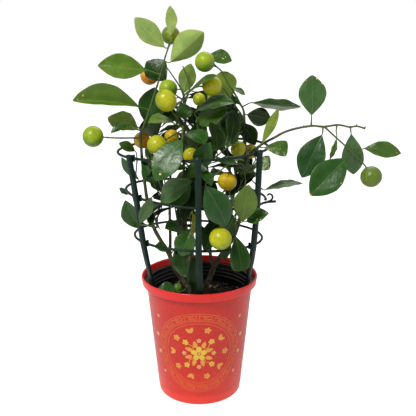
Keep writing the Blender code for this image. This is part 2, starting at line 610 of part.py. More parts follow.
def resample(path, step):
    arr = np.array(path, float)
    out = [tuple(arr[0])]
    for a, b in zip(arr, arr[1:]):
        n = max(1, int(np.linalg.norm(b[:3] - a[:3]) / step))
        for k in range(1, n + 1):
            out.append(tuple(a + (b - a) * k / n))
    return out


def thin_out(path, step):
    """Fewer points along a finely divided path."""
    arr = [np.array(p, float) for p in path]
    out = [arr[0]]
    run = 0.0
    for a, b in zip(arr, arr[1:]):
        run += np.linalg.norm(b[:3] - a[:3])
        if run >= step:
            out.append(b)
            run = 0.0
    if np.linalg.norm(out[-1][:3] - arr[-1][:3]) > step * 0.4 or len(out) == 1:
        out.append(arr[-1])
    else:
        out[-1] = arr[-1]
    return out


def turned_about(v, axis, degrees):
    a = math.radians(degrees)
    return v * math.cos(a) + np.cross(axis, v) * math.sin(a) + axis * axis.dot(v) * (1 - math.cos(a))


def varied(leaf, roll, lift, swing, scale):
    """The same leaf, rolled about its axis and turned a little about its base."""
    base, tip, width, normal, fold, bow, cut = leaf
    b, t, axis, n, side = leaf_frame(leaf)
    run = (t - b) * scale
    run = turned_about(run, side, lift)
    run = turned_about(run, n, swing)
    n2 = turned_about(turned_about(turned_about(n, side, lift), n, swing), unit(run), roll)
    return (tuple(b), tuple(b + run), width * scale, tuple(n2), fold, bow, cut)


def within_crown(leaf):
    """Whether a leaf keeps inside the crown's outline as seen from the front."""
    heights, left, right = zip(*CROWN_SIDES)
    spans, tops = zip(*CROWN_TOP)
    for v in (0.3, 0.6, 0.85, 1.0):
        for u in (-1.0, 0.0, 1.0):
            x, y, z = blade_point(leaf, u, v)
            z += SIGHT_DROP * (y - 10.0) * 0.8
            if z > np.interp(x, spans, tops) or not np.interp(z, heights, left) < x < np.interp(z, heights, right):
                return False
    return True


def hides_fruit(leaf):
    """Whether a leaf stands in front of a fruit that should show."""
    for name in SHOWN:
        (cx, cy, cz), radius = FRUITS[name][:2]
        for v in (0.0, 0.2, 0.4, 0.6, 0.8, 1.0):
            for u in (-1.0, 0.0, 1.0):
                x, y, z = blade_point(leaf, u, v)
                if y < cy and math.hypot(x - cx, z - cz - SIGHT_DROP * (cy - y)) < radius + 1.5:
                    return True
    return False


TRIES = [(0, 0, 0, 1.0), (0, 6, 0, 1.0), (0, -6, 0, 1.0), (0, 0, 7, 1.0), (0, 0, -7, 1.0), (12, 0, 0, 1.0),
         (-12, 0, 0, 1.0), (0, 12, 0, 1.0), (0, -12, 0, 1.0), (0, 0, 13, 1.0), (0, 0, -13, 1.0), (20, 6, 0, 1.0),
         (-20, 6, 0, 1.0), (20, -6, 0, 1.0), (-20, -6, 0, 1.0), (0, 0, 0, 0.88), (0, 9, 0, 0.88), (0, -9, 0, 0.88),
         (0, 0, 10, 0.88), (0, 0, -10, 0.88), (25, 0, 10, 0.88), (-25, 0, -10, 0.88), (25, 0, -10, 0.88),
         (-25, 0, 10, 0.88), (0, 18, 0, 0.88), (0, -18, 0, 0.88), (35, 12, 0, 0.8), (-35, 12, 0, 0.8),
         (35, -12, 0, 0.8), (-35, -12, 0, 0.8), (0, 16, 16, 0.8), (0, -16, 16, 0.8), (0, 16, -16, 0.8),
         (0, -16, -16, 0.8), (0, 0, 0, 0.7), (30, 10, 10, 0.7), (-30, 10, -10, 0.7), (30, -10, -10, 0.7),
         (-30, -10, 10, 0.7), (0, 24, 0, 0.7), (0, -24, 0, 0.7), (0, 0, 24, 0.7), (0, 0, -24, 0.7)]


def rows_of(shoot):
    """Blade rows of a leaf: the leaves of the outer shoots are drawn more finely."""
    return (0.30, 0.66) if shoot in SHOOTS else (0.46,)


STEM_STEP, TWIG_STEP = 11.0, 10.0


def lay_out():
    """Where everything of the plant goes, each piece kept clear of its neighbours."""
    space = Space()
    for name in RINGS:
        space.add("cage_ring_" + name, *tube_faces(ring_path(name), 8, GAP))
    for name in STAKE_ANGLES:
        space.add("cage_stake_" + name, *stake_block(name, GAP))
        for ring in RINGS:
            reach, height = ring_at(ring, STAKE_ANGLES[name][1])
            a = math.radians(STAKE_ANGLES[name][1])
            lug = [((reach + d) * math.cos(a), (reach + d) * math.sin(a), height, 4.6) for d in (-5.0, 2.0)]
            space.add("cage_stake_" + name, *tube_faces(lug, 8, GAP))
    lip = []
    for k in range(41):
        a = 2 * math.pi * k / 40
        lip.append((80.5 * math.cos(a), 80.5 * math.sin(a), 171.0, 6.0))
    space.add("outer_pot", *tube_faces(lip, 8))
    plan = {"stems": {}, "fruits": {}, "shoots": {}, "dropped": []}

    for name, points in STEMS.items():
        path = resample(smooth_path(points, 8.0), 1.0)
        if not name.startswith("trunk"):
            path = trimmed(path, space, name)
        path = thin_out(path, STEM_STEP)
        hit = space.hits(*tube_faces(path, 8, GAP))
        if hit:
            plan["dropped"].append((name, "stem meets", tuple(hit)))
        plan["stems"][name] = path
        space.add(name, *tube_faces(path, 8, GAP))

    for name, (centre, radius, squash, origin) in FRUITS.items():
        space.add(name, *ball_faces(centre, radius, squash, GAP))
        plan["fruits"][name] = (centre, radius, squash, origin)

    everything = {}
    for name, shoot in SHOOTS.items():
        everything[name] = (shoot["twigs"], shoot["leaves"], 0)
    for name, (twigs, count) in FILLERS.items():
        everything[name] = (twigs, [], count)
    for name, (twigs, leaves, count) in everything.items():
        paths = []
        for i, twig in enumerate(twigs):
            path = resample(smooth_path(twig, 6.0), 1.0)
            if i == 0:
                path = trimmed(path, space, name)
            else:
                path[0] = tuple(root_on(paths, vec(path[0]))) + (path[0][3],)
            path = trimmed(path, space, name, from_end=True)
            path = thin_out(path, TWIG_STEP)
            hit = space.hits(*tube_faces(path, 6, GAP))
            if hit:
                plan["dropped"].append((name, "twig %d meets" % i, tuple(hit)))
            paths.append(path)
        for path in paths:
            space.add(name, *tube_faces(path, 6, GAP))
        plan["shoots"][name] = {"twigs": paths, "leaves": []}

    for name, (twigs, leaves, count) in everything.items():
        paths = plan["shoots"][name]["twigs"]
        mine, own, used = [], Space(), []
        for i, leaf in enumerate(leaves):
            root = root_on(paths, vec(leaf[0]), used)
            used.append(root)
            choice = fallback = None
            for trial in TRIES:
                new = varied(leaf, *trial)
                if space.hits(*leaf_faces(new, root, rows_of(name), GAP), skip=(name,)):
                    continue
                fallback = fallback or new
                if not own.hits(*leaf_faces(new, root, rows_of(name), 0.0, False)):
                    choice = new
                    break
            if choice is None:
                plan["dropped"].append((name, "leaf %d" % i, "touches its own shoot" if fallback else "left out",
                                        tuple(space.hits(*leaf_faces(leaf, root, rows_of(name), GAP), skip=(name,)))))
                choice = fallback
            if choice:
                mine.append((choice, root))
                own.add(name, *leaf_faces(choice, root, rows_of(name), GAP, False))
        for choice, root in mine:
            space.add(name, *leaf_faces(choice, root, rows_of(name)))
        plan["shoots"][name]["leaves"] = mine

    rng = random.Random(20)
    for name, (twigs, leaves, count) in everything.items():
        if not count:
            continue
        paths = [resample(p, 1.0) for p in plan["shoots"][name]["twigs"]]
        total = sum(len(p) for p in paths)
        mine = plan["shoots"][name]["leaves"]
        turn = rng.uniform(0, 360)
        own = Space()
        for i in range(count):
            k = int((i + 0.6) / count * total)
            for path in paths:
                if k < len(path):
                    break
                k -= len(path)
            k = min(max(k, 2), len(path) - 3)
            q = vec(path[k])
            ahead = unit(vec(path[k + 2]) - vec(path[k - 2]))
            placed = False
            for attempt in range(20):
                turn += 137.5 if attempt == 0 else 47.0
                ref = unit(np.cross(ahead, (0.1, 0.2, 1.0)))
                out = turned_about(ref, ahead, turn)
                outward = unit(np.array((q[0], q[1], 0.0)) + 1e-6)
                lean = rng.uniform(0.35, 0.8)
                heading = unit(out + ahead * lean + outward * 0.45)
                length = rng.uniform(44, 66) * (0.96 ** attempt)
                width = length * rng.uniform(0.46, 0.56)
                b = q + heading * rng.uniform(5, 9)
                droop = rng.uniform(-0.25, 0.15)
                tip = b + unit(heading + np.array((0, 0, droop))) * length
                up = unit(np.array((0.0, 0.0, 1.0)) + outward * rng.uniform(0.2, 1.3)
                          + np.array((rng.uniform(-0.4, 0.4), rng.uniform(-0.4, 0.4), 0)))
                leaf = (tuple(b), tuple(tip), width, tuple(up), rng.uniform(6, 18), rng.uniform(1, 5), 0.0)
                if not within_crown(leaf) or hides_fruit(leaf):
                    continue
                reach = math.hypot(tip[0] + 3, tip[1])
                if reach > (95 if tip[2] < 372 else 104) or tip[2] < 182 or tip[2] > 478 or (
                        tip[1] < -84 and tip[2] < 400):
                    continue
                for trial in TRIES[:15]:
                    new = varied(leaf, *trial)
                    if trial[0] or trial[1] or trial[2]:
                        if not within_crown(new) or hides_fruit(new):
                            continue
                    pts, faces = leaf_faces(new, q, rows_of(name), GAP)
                    if space.hits(pts, faces, skip=(name,)):
                        continue
                    if own.hits(*leaf_faces(new, q, rows_of(name), 0.0, False)):
                        continue
                    mine.append((new, q))
                    own.add(name, *leaf_faces(new, q, rows_of(name), GAP, False))
                    space.add(name, *leaf_faces(new, q, rows_of(name)))
                    placed = True
                    break
                if placed:
                    break
            if not placed:
                plan["dropped"].append((name, "filler %d" % i, ()))

    for name, (centre, radius, squash, origin) in plan["fruits"].items():
        c, o = vec(centre), vec(origin)
        away = unit(o - c)
        start = c + away * radius * 0.8
        line = [tuple(start) + (0.9,), tuple(c + away * (radius + 3)) + (0.9,), tuple(o) + (0.9,)]
        path = resample(smooth_path(line, 4.0), 1.0)
        keep = 2
        for k in range(3, len(path) + 1):
            if space.hits(*tube_faces(path[:k], 6, GAP + 0.1), skip=(name,)):
                break
            keep = k
        plan["fruits"][name] = (centre, radius, squash, origin, path[:keep])
        if keep > 2:
            space.add(name, *tube_faces(path[:keep], 6, GAP))
    return plan


# ---------------------------------------------------------------- building
for old in list(bpy.data.objects):
    bpy.data.objects.remove(old, do_unlink=True)

tree_parts = bpy.data.collections.new("potted_calamondin_tree")
bpy.context.scene.collection.children.link(tree_parts)
cutters = bpy.data.collections.new("cutters")
bpy.context.scene.collection.children.link(cutters)


def material(name, colour, roughness, metallic=0.0):
    mat = bpy.data.materials.new(name)
    mat.use_nodes = True
    shader = mat.node_tree.nodes["Principled BSDF"]
    shader.inputs["Base Color"].default_value = (*colour, 1.0)
    shader.inputs["Roughness"].default_value = roughness
    shader.inputs["Metallic"].default_value = metallic
    mat.diffuse_color = (*colour, 1.0)
    return mat


POT_RED = material("pot_red_plastic", (0.62, 0.02, 0.015), 0.32)
LINER_BLACK = material("liner_black_plastic", (0.008, 0.008, 0.009), 0.4)
CAGE_GREEN = material("cage_green_plastic", (0.012, 0.055, 0.035), 0.4)
SOIL_DARK = material("potting_soil", (0.018, 0.012, 0.008), 0.95)
BARK = material("bark", (0.10, 0.085, 0.05), 0.8)
LEAF_GREEN = material("leaf_green", (0.03, 0.11, 0.015), 0.35)
FRUIT_GREEN = material("fruit_green", (0.20, 0.38, 0.02), 0.3)
FRUIT_LIME = material("fruit_lime", (0.50, 0.60, 0.02), 0.3)
FRUIT_GOLD = material("fruit_gold", (0.85, 0.55, 0.02), 0.3)


def place(name, mesh, mat, collection=None):
    obj = bpy.data.objects.new(name, mesh)
    (collection or tree_parts).objects.link(obj)
    mesh.materials.clear()
    mesh.materials.append(mat)
    return obj


def as_cutter(obj):
    obj.hide_render = True
    obj.display_type = "WIRE"
    return obj


def evaluated_mesh(obj, weld=0.00001):
    """The object's mesh with its modifiers, its loose caps welded."""
    deps = bpy.context.evaluated_depsgraph_get()
    mesh = bpy.data.meshes.new_from_object(obj.evaluated_get(deps), depsgraph=deps)
    bm = bmesh.new()
    bm.from_mesh(mesh)
    bmesh.ops.remove_doubles(bm, verts=bm.verts, dist=weld)
    bmesh.ops.recalc_face_normals(bm, faces=bm.faces)
    bm.to_mesh(mesh)
    bm.free()
    return mesh


def round_bar(name, path, mat, resolution=1, cyclic=False, collection=None):
    """A bar round a path of (x, y, z, radius) in millimetres."""
    curve = bpy.data.curves.new(name, "CURVE")
    curve.dimensions = "3D"
    curve.bevel_depth = MM
    curve.bevel_resolution = resolution
    curve.use_fill_caps = not cyclic
    spline = curve.splines.new("POLY")
    spline.points.add(len(path) - 1)
    for point, p in zip(spline.points, path):
        point.co = (p[0] * MM, p[1] * MM, p[2] * MM, 1.0)
        point.radius = p[3]
    spline.use_cyclic_u = cyclic
    guide = bpy.data.objects.new(name + "_line", curve)
    cutters.objects.link(guide)
    mesh = evaluated_mesh(guide)
    bpy.data.objects.remove(guide, do_unlink=True)
    mesh.shade_smooth()
    return place(name, mesh, mat, collection)


def turned(name, profile, segments, mat, collection=None):
    """A turned piece. The profile runs down the outer side and back up the inner one, in millimetres."""
    mesh = bpy.data.meshes.new(name)
    bm = bmesh.new()
    verts = [bm.verts.new((r * MM, 0.0, z * MM)) for r, z in profile]
    for a, b in zip(verts, verts[1:]):
        bm.edges.new((a, b))
    bm.to_mesh(mesh)
    bm.free()
    obj = place(name, mesh, mat, collection)
    screw = obj.modifiers.new("turn", "SCREW")
    screw.steps = screw.render_steps = segments
    screw.use_merge_vertices = True
    screw.merge_threshold = 0.00005
    screw.use_smooth_shade = True
    return obj


def loft_block(name, stations, mat, extra=0.0, collection=None):
    """A bar of rectangular section through stations of (middle, width, depth, outward, sideways)."""
    bm = bmesh.new()
    rings = []
    for c, wide, deep, out, side in stations:
        ring = []
        for u, w in ((1, 1), (1, -1), (-1, -1), (-1, 1)):
            p = c + side * u * (wide / 2 + extra) + out * w * (deep / 2 + extra)
            ring.append(bm.verts.new(Vector(p) * MM))
        rings.append(ring)
    for a, b in zip(rings, rings[1:]):
        for k in range(4):
            bm.faces.new((a[k], a[(k + 1) % 4], b[(k + 1) % 4], b[k]))
    bm.faces.new(rings[0])
    bm.faces.new(rings[-1][::-1])
    bmesh.ops.recalc_face_normals(bm, faces=bm.faces)
    mesh = bpy.data.meshes.new(name)
    bm.to_mesh(mesh)
    bm.free()
    return place(name, mesh, mat, collection)


def boolean(obj, other, operation):
    mod = obj.modifiers.new("join" if operation == "UNION" else "cut", "BOOLEAN")
    mod.operation = operation
    mod.solver = "EXACT"
    if isinstance(other, bpy.types.Collection):
        mod.operand_type = "COLLECTION"
        mod.collection = other
    else:
        mod.object = other
    return mod


# ---------------------------------------------------------------- pot, liner and soil
def pot_radius(z):
    """Outer radius of the red pot's tapered wall."""
    return BASE_RADIUS + (BODY_TOP_RADIUS - BASE_RADIUS) * z / (POT_HEIGHT - RIM_BAND)


def liner_radius(z):
    return pot_radius(z) - POT_WALL - 0.6


BAND_FOOT = POT_HEIGHT - RIM_BAND
turned("outer_pot", [
    (0.0, 2.0), (pot_radius(2.0) - POT_WALL, 2.0),
    (pot_radius(BAND_FOOT) - POT_WALL, BAND_FOOT), (RIM_RADIUS - 3.9, BAND_FOOT + 1.0),
    (RIM_RADIUS - 3.1, POT_HEIGHT - 1.5), (RIM_RADIUS - 2.0, POT_HEIGHT), (RIM_RADIUS - 0.7, POT_HEIGHT - 0.2),
    (RIM_RADIUS, POT_HEIGHT - 1.6), (RIM_RADIUS - 1.4, BAND_FOOT + 0.3), (RIM_RADIUS - 2.2, BAND_FOOT - 0.7),
    (pot_radius(BAND_FOOT - 0.7), BAND_FOOT - 0.7), (pot_radius(1.4), 1.4), (pot_radius(0.0) - 1.3, 0.0),
    (0.0, 0.0)], 44, POT_RED)

liner_profile = [
    (0.0, 4.1), (liner_radius(4.1) - LINER_WALL, 4.1), (liner_radius(143.0) - LINER_WALL, 143.0)]
for ridge in (146.5, 152.0, 157.5):
    inner = liner_radius(ridge) - LINER_WALL
    liner_profile += [(inner - 0.9, ridge), (inner - 0.9, ridge + 1.3), (inner + 0.2, ridge + 2.3)]
liner_profile += [
    (liner_radius(BAND_FOOT) - LINER_WALL, LINER_TOP), (RIM_RADIUS - 4.7, LINER_TOP), (RIM_RADIUS - 4.7, LINER_TOP - 1.5),
    (liner_radius(BAND_FOOT), LINER_TOP - 1.5), (liner_radius(2.4), 2.4), (0.0, 2.4)]
liner = turned("grower_pot", liner_profile, 32, LINER_BLACK)
for k in range(4):
    hole = bpy.data.meshes.new("drain_hole")
    bm = bmesh.new()
    bmesh.ops.create_cone(bm, cap_ends=True, segments=10, radius1=4.0 * MM, radius2=4.0 * MM, depth=8.0 * MM)
    bm.to_mesh(hole)
    bm.free()
    drill = as_cutter(place("drain_hole_%d" % k, hole, LINER_BLACK, cutters))
    a = math.radians(45 + 90 * k)
    drill.location = (36.0 * MM * math.cos(a), 36.0 * MM * math.sin(a), 3.2 * MM)
    boolean(liner, drill, "DIFFERENCE")

soil_line = turned("soil_line", [
    (0.0, SOIL_TOP + 1.5), (14.0, SOIL_TOP + 1.2), (28.0, SOIL_TOP + 0.6), (42.0, SOIL_TOP), (56.0, SOIL_TOP - 1.0),
    (liner_radius(138.5) - LINER_WALL - 0.4, SOIL_TOP - 3.5), (liner_radius(4.6) - LINER_WALL - 0.4, 4.6), (0.0, 4.6)],
    28, SOIL_DARK, cutters)
soil_mesh = evaluated_mesh(soil_line)
bpy.data.objects.remove(soil_line, do_unlink=True)
for v in soil_mesh.vertices:
    if v.co.z > (SOIL_TOP - 3.0) * MM:
        x, y = v.co.x / MM, v.co.y / MM
        v.co.z += MM * 1.1 * (math.sin(x * 0.21 + 1.3) * math.cos(y * 0.17 - 0.4) + 0.5 * math.sin(x * 0.09 - y * 0.13))
soil = place("soil", soil_mesh, SOIL_DARK)

# ---------------------------------------------------------------- plan of the plant
plan = lay_out()

# ---------------------------------------------------------------- cage
for name in STAKE_ANGLES:
    a = math.radians(STAKE_ANGLES[name][1])
    out = np.array((math.cos(a), math.sin(a), 0.0))
    side = np.array((-math.sin(a), math.cos(a), 0.0))
    stations = stake_stations(name)
    stake = loft_block("cage_stake_" + name, stations, CAGE_GREEN)
    # the channel down the inner side, closed at the foot and at the top
    inner = [(c - u * deep * 0.45, wide - 3.4, deep * 0.9, u, w) for c, wide, deep, u, w in stations if c[2] > 190]
    inner[-1] = (inner[-1][0] - np.array((0, 0, 4.0)),) + inner[-1][1:]
    channel = as_cutter(loft_block("channel_" + name, inner, CAGE_GREEN, 0.0, cutters))
    boolean(stake, channel, "DIFFERENCE")
    foot = [s for s in stations if s[0][2] < 155]
    foot[0] = (foot[0][0] - np.array((0, 0, 0.5)),) + foot[0][1:]
    boolean(soil, as_cutter(loft_block("socket_" + name, foot, SOIL_DARK, 0.45, cutters)), "DIFFERENCE")
    # two lugs hold each ring, one under it and one over it
    lugs = bpy.data.collections.new("lugs_" + name)
    cutters.children.link(lugs)
    for ring in RINGS:
        reach, height = ring_at(ring, STAKE_ANGLES[name][1])
        for sign in (-1, 1):
            mesh = bpy.data.meshes.new("lug")
            bm = bmesh.new()
            bmesh.ops.create_cube(bm, size=1.0)
            for v in bm.verts:
                v.co = Vector(out * v.co.x * 8.4 + side * v.co.y * 3.6 + np.array((0, 0, v.co.z * 1.8))) * MM
            bm.to_mesh(mesh)
            bm.free()
            lug = as_cutter(place("lug_%s_%s_%d" % (name, ring, sign), mesh, CAGE_GREEN, lugs))
            where = out * (reach + RING_ROD + 0.5 - 0.6)
            lug.location = (where[0] * MM, where[1] * MM, (height + sign * (RING_ROD + 0.5 + 1.1)) * MM)
    boolean(stake, lugs, "UNION")

for ring in RINGS:
    path = ring_path(ring, 36)[:-1]
    if ring == "middle":
        # an open hoop: its end stands out past the right stake
        start = next(i for i in range(len(path)) if i * 10.0 >= 350.0)
        loop = path[start:] + path[:start]
        x, y, z, r = loop[-1]
        path = loop[:-1] + [(x + 4.5, y - 3.0, z - 0.5, r), (x + 14.0, y - 1.0, z - 0.3, r)]
        path[0] = tuple(np.array(path[0]) + np.array((-0.6, 4.0, 0.3, 0.0)))
        round_bar("cage_ring_middle", path, CAGE_GREEN, 1)
    else:
        round_bar("cage_ring_" + ring, path, CAGE_GREEN, 1, cyclic=True)

# ---------------------------------------------------------------- stems
for name, path in plan["stems"].items():
    stem = round_bar(name, path, BARK, 1)
    if name.startswith("trunk"):
        foot = [p for p in path if p[2] < SOIL_TOP + 16.0]
        hole = [tuple(np.array(p) + np.array((0, 0, -0.8 if i == 0 else 0.0, 0.6))) for i, p in enumerate(foot)]
        boolean(soil, as_cutter(round_bar("socket_" + name, hole, SOIL_DARK, 1, collection=cutters)), "DIFFERENCE")

# ---------------------------------------------------------------- fruits
GOLD = ("fruit_orange", "fruit_amber", "fruit_gold", "fruit_behind_stake", "fruit_inside_yellow",
        "fruit_centre_yellow", "fruit_right_rear")
GREEN = ("fruit_top", "fruit_far_left", "fruit_far_right", "fruit_small_low", "fruit_upper_left_rear")
for name, (centre, radius, squash, origin, stalk) in plan["fruits"].items():
    mat = FRUIT_GOLD if name in GOLD else FRUIT_GREEN if name in GREEN else FRUIT_LIME
    bm = bmesh.new()
    bmesh.ops.create_uvsphere(bm, u_segments=10, v_segments=7, radius=1.0)
    away = unit(vec(origin) - vec(centre))
    turn = Vector((0, 0, 1)).rotation_difference(Vector(away)).to_matrix()
    for v in bm.verts:
        # flattened a little along the stalk, as the fruit is
        v.co = turn @ Vector((v.co.x * radius, v.co.y * radius, v.co.z * radius * squash)) * MM
        v.co += Vector(centre) * MM
    for f in bm.faces:
        f.smooth = True
    mesh = bpy.data.meshes.new(name)
    bm.to_mesh(mesh)
    bm.free()
    fruit = place(name, mesh, mat)
    if len(stalk) > 2:
        bar = as_cutter(round_bar("stalk_of_" + name, thin_out(stalk, 5.0), BARK, 0, collection=cutters))
        boolean(fruit, bar, "UNION")

# ---------------------------------------------------------------- shoots
for name, shoot in plan["shoots"].items():
    others = bpy.data.collections.new("pieces_of_" + name)
    cutters.children.link(others)
    main = round_bar(name, shoot["twigs"][0], LEAF_GREEN, 0)
    for i, twig in enumerate(shoot["twigs"][1:]):
        as_cutter(round_bar("%s_twig_%d" % (name, i), twig, LEAF_GREEN, 0, collection=others))
    for i, (leaf, root) in enumerate(shoot["leaves"]):
        bm = bmesh.new()
        index = []
        own_stalk = name in SHOOTS
        for row in leaf_rows(leaf, root, rows_of(name))[1 if own_stalk else 0:]:
            index.append([bm.verts.new(Vector(p) * MM) for p in row])
        for face in blade_faces(index):
            bm.faces.new(face)
        mesh = bpy.data.meshes.new("leaf")
        bm.to_mesh(mesh)
        bm.free()
        blade = place("%s_leaf_%d" % (name, i), mesh, LEAF_GREEN, others)
        shell = blade.modifiers.new("thickness", "SOLIDIFY")
        shell.thickness = LEAF_THICK * MM
        shell.offset = 0.0
        shell.use_even_offset = False
        as_cutter(blade)
        if own_stalk:
            b, t, axis, n, side = leaf_frame(leaf)
            stalk = [tuple(root) + (0.75,), tuple(b + axis * 1.4) + (0.65,)]
            as_cutter(round_bar("%s_stalk_%d" % (name, i), stalk, LEAF_GREEN, 0, collection=others))
    boolean(main, others, "UNION")
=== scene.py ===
"""Potted calamondin tree: the looks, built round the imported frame."""

import math
import random

import bpy
import bmesh
import numpy as np
from mathutils import Matrix, Vector, noise
from mathutils.bvhtree import BVHTree


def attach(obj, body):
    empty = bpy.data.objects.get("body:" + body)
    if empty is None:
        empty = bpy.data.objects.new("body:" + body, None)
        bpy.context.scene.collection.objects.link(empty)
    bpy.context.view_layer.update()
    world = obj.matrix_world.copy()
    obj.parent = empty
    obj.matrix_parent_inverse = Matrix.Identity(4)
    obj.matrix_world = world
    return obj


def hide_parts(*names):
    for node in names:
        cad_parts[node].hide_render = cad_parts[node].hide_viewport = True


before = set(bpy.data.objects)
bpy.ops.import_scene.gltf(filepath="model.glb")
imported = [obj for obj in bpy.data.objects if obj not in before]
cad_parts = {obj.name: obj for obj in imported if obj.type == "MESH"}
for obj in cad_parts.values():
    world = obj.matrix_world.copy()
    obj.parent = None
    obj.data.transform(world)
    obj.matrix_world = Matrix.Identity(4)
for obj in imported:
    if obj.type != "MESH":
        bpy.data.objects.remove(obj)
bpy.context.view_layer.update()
scene = bpy.context.scene

# ---------------------------------------------------------------- dimensions
MM = 0.001

# pot, 6.5 inch size, lengths in millimetres
POT_HEIGHT = 175.0
RIM_RADIUS = 82.5
RIM_BAND = 11.5
BASE_RADIUS = 59.7
BODY_TOP_RADIUS = 75.3
POT_WALL = 1.5
LINER_WALL = 1.2
LINER_TOP = 166.3
SOIL_TOP = 142.0

# cage of three stakes and three rings
RING_ROD = 1.75
RINGS = {  # centre x, centre y, centre z, radius, rise along x, rise along y
    "bottom": (-1.0, 0.0, 232.5, 89.0, -0.03, -0.05),
    "middle": (-4.0, 0.0, 293.0, 96.0, -0.08, -0.02),
    "top": (-8.0, 0.0, 355.0, 101.5, 0.03, 0.0),
}
STAKE_ANGLES = {"front": (-88.0, -89.7), "left": (-158.0, -140.0), "right": (-17.0, -39.0)}  # at the rim, at the rings
STAKE_DEPTH_TOP, STAKE_DEPTH_FOOT = 5.0, 3.4
STAKE_WIDTH_TOP, STAKE_WIDTH_FOOT = 7.4, 9.4
STAKE_ABOVE_RING, STAKE_FOOT_Z = 4.8, 92.0
STAKE_FOOT_RADIUS = 60.0

LEAF_THICK = 0.8
GAP = 0.35

# ---------------------------------------------------------------- growth
# A direction is a pair of angles in degrees: the first in the front view, anticlockwise from the right
# (90 is up), the second towards the front.
def heading(turn, forward):
    t, f = math.radians(turn), math.radians(forward)
    return np.array((math.cos(t) * math.cos(f), -math.sin(f), math.sin(t) * math.cos(f)))


def grown(start, runs):
    """Points of a stem that grows from start in straight runs of (length, turn, forward)."""
    points = [np.array(start, float)]
    for length, turn, forward in runs:
        points.append(points[-1] + heading(turn, forward) * length)
    return points


def tapered(points, thick, thin, power=1.0):
    """The same points with a radius each, from thick at the foot to thin at the tip."""
    steps = [0.0] + [float(np.linalg.norm(b - a)) for a, b in zip(points, points[1:])]
    total = sum(steps)
    out, run = [], 0.0
    for p, step in zip(points, steps):
        run += step
        out.append(tuple(float(c) for c in p) + (thin + (thick - thin) * (1.0 - run / total) ** power,))
    return out


def along(path, share):
    """The point at a share of a path's length."""
    pts = [np.array(p[:3], float) for p in path]
    steps = [float(np.linalg.norm(b - a)) for a, b in zip(pts, pts[1:])]
    left = share * sum(steps)
    for a, b, step in zip(pts, pts[1:], steps):
        if left <= step or b is pts[-1]:
            return a + (b - a) * min(left / step, 1.0)
        left -= step


def at_height(path, z):
    """The point of a rising stem at height z, or its tip if it ends lower."""
    for a, b in zip(path, path[1:]):
        if min(a[2], b[2]) <= z <= max(a[2], b[2]) and a[2] != b[2]:
            k = (z - a[2]) / (b[2] - a[2])
            return np.array(a[:3], float) * (1 - k) + np.array(b[:3], float) * k
    return np.array(path[-1][:3], float)


def facing(up, aside):
    """Normal of a leaf's upper side: 0 looks at the front, 90 up, 180 at the back; aside is to the right."""
    u, s = math.radians(up), math.radians(aside)
    return (math.sin(s), -math.cos(u) * math.cos(s), math.sin(u) * math.cos(s))


# stem: where it starts (a point in the soil, or a stem and a height on it), radius at foot and tip, runs
STEM_GROWTH = {
    "trunk_right": ((7, -6, 112), 4.6, 1.8, [(39, 87, 0), (17, 72, -15), (17, 66, -25), (21, 62, 0), (16, 56, 0),
                    (22, 58, -5), (42, 76, 0), (37, 88, 3), (29, 88, 5), (36, 91, 5)]),
    "trunk_left": ((-11, -12, 112), 4.1, 1.8, [(40, 95, 0), (19, 119, -5), (18, 128, -15), (22, 112, -15),
                   (27, 121, -10), (26, 115, -5), (44, 99, 3), (44, 95, 5), (39, 92, 3)]),
    "fork_right": (("trunk_right", 181), 2.6, 1.5, [(13, 108, -15), (14, 96, -10), (18, 86, -10), (36, 86, -10),
                   (50, 97, -3), (48, 97, 5), (40, 93, 8)]),
    "stem_centre": (("trunk_left", 183), 2.4, 1.6, [(60, 79, -4), (66, 88, 0), (58, 89, 4), (41, 85, 6)]),
    "stem_back_left": (("trunk_left", 202), 2.2, 1.4, [(25, 88, -35), (44, 92, -25), (58, 88, -10), (52, 82, 0),
                       (33, 80, 10)]),
    "stem_back_right": (("trunk_right", 213), 2.2, 1.3, [(24, 75, -35), (45, 87, -28), (55, 94, -12), (50, 98, 2),
                        (30, 100, 12)]),
    "arching_branch": (("trunk_right", 334), 1.9, 1.1, [(13, 70, 28), (13, 50, 25), (15, 38, 10), (18, 30, 8),
                       (14, 30, 10), (16, 19, 8), (21, 10, 5), (16, -3, 5), (18, 8, 5), (15, -10, 5), (10, 6, 3),
                       (11, -16, 0)]),
    "stalk_left": (("trunk_left", 369), 1.1, 1.0, [(12, 178, 15), (12, 176, 30), (12, 176, 22), (11, 175, 10)]),
}

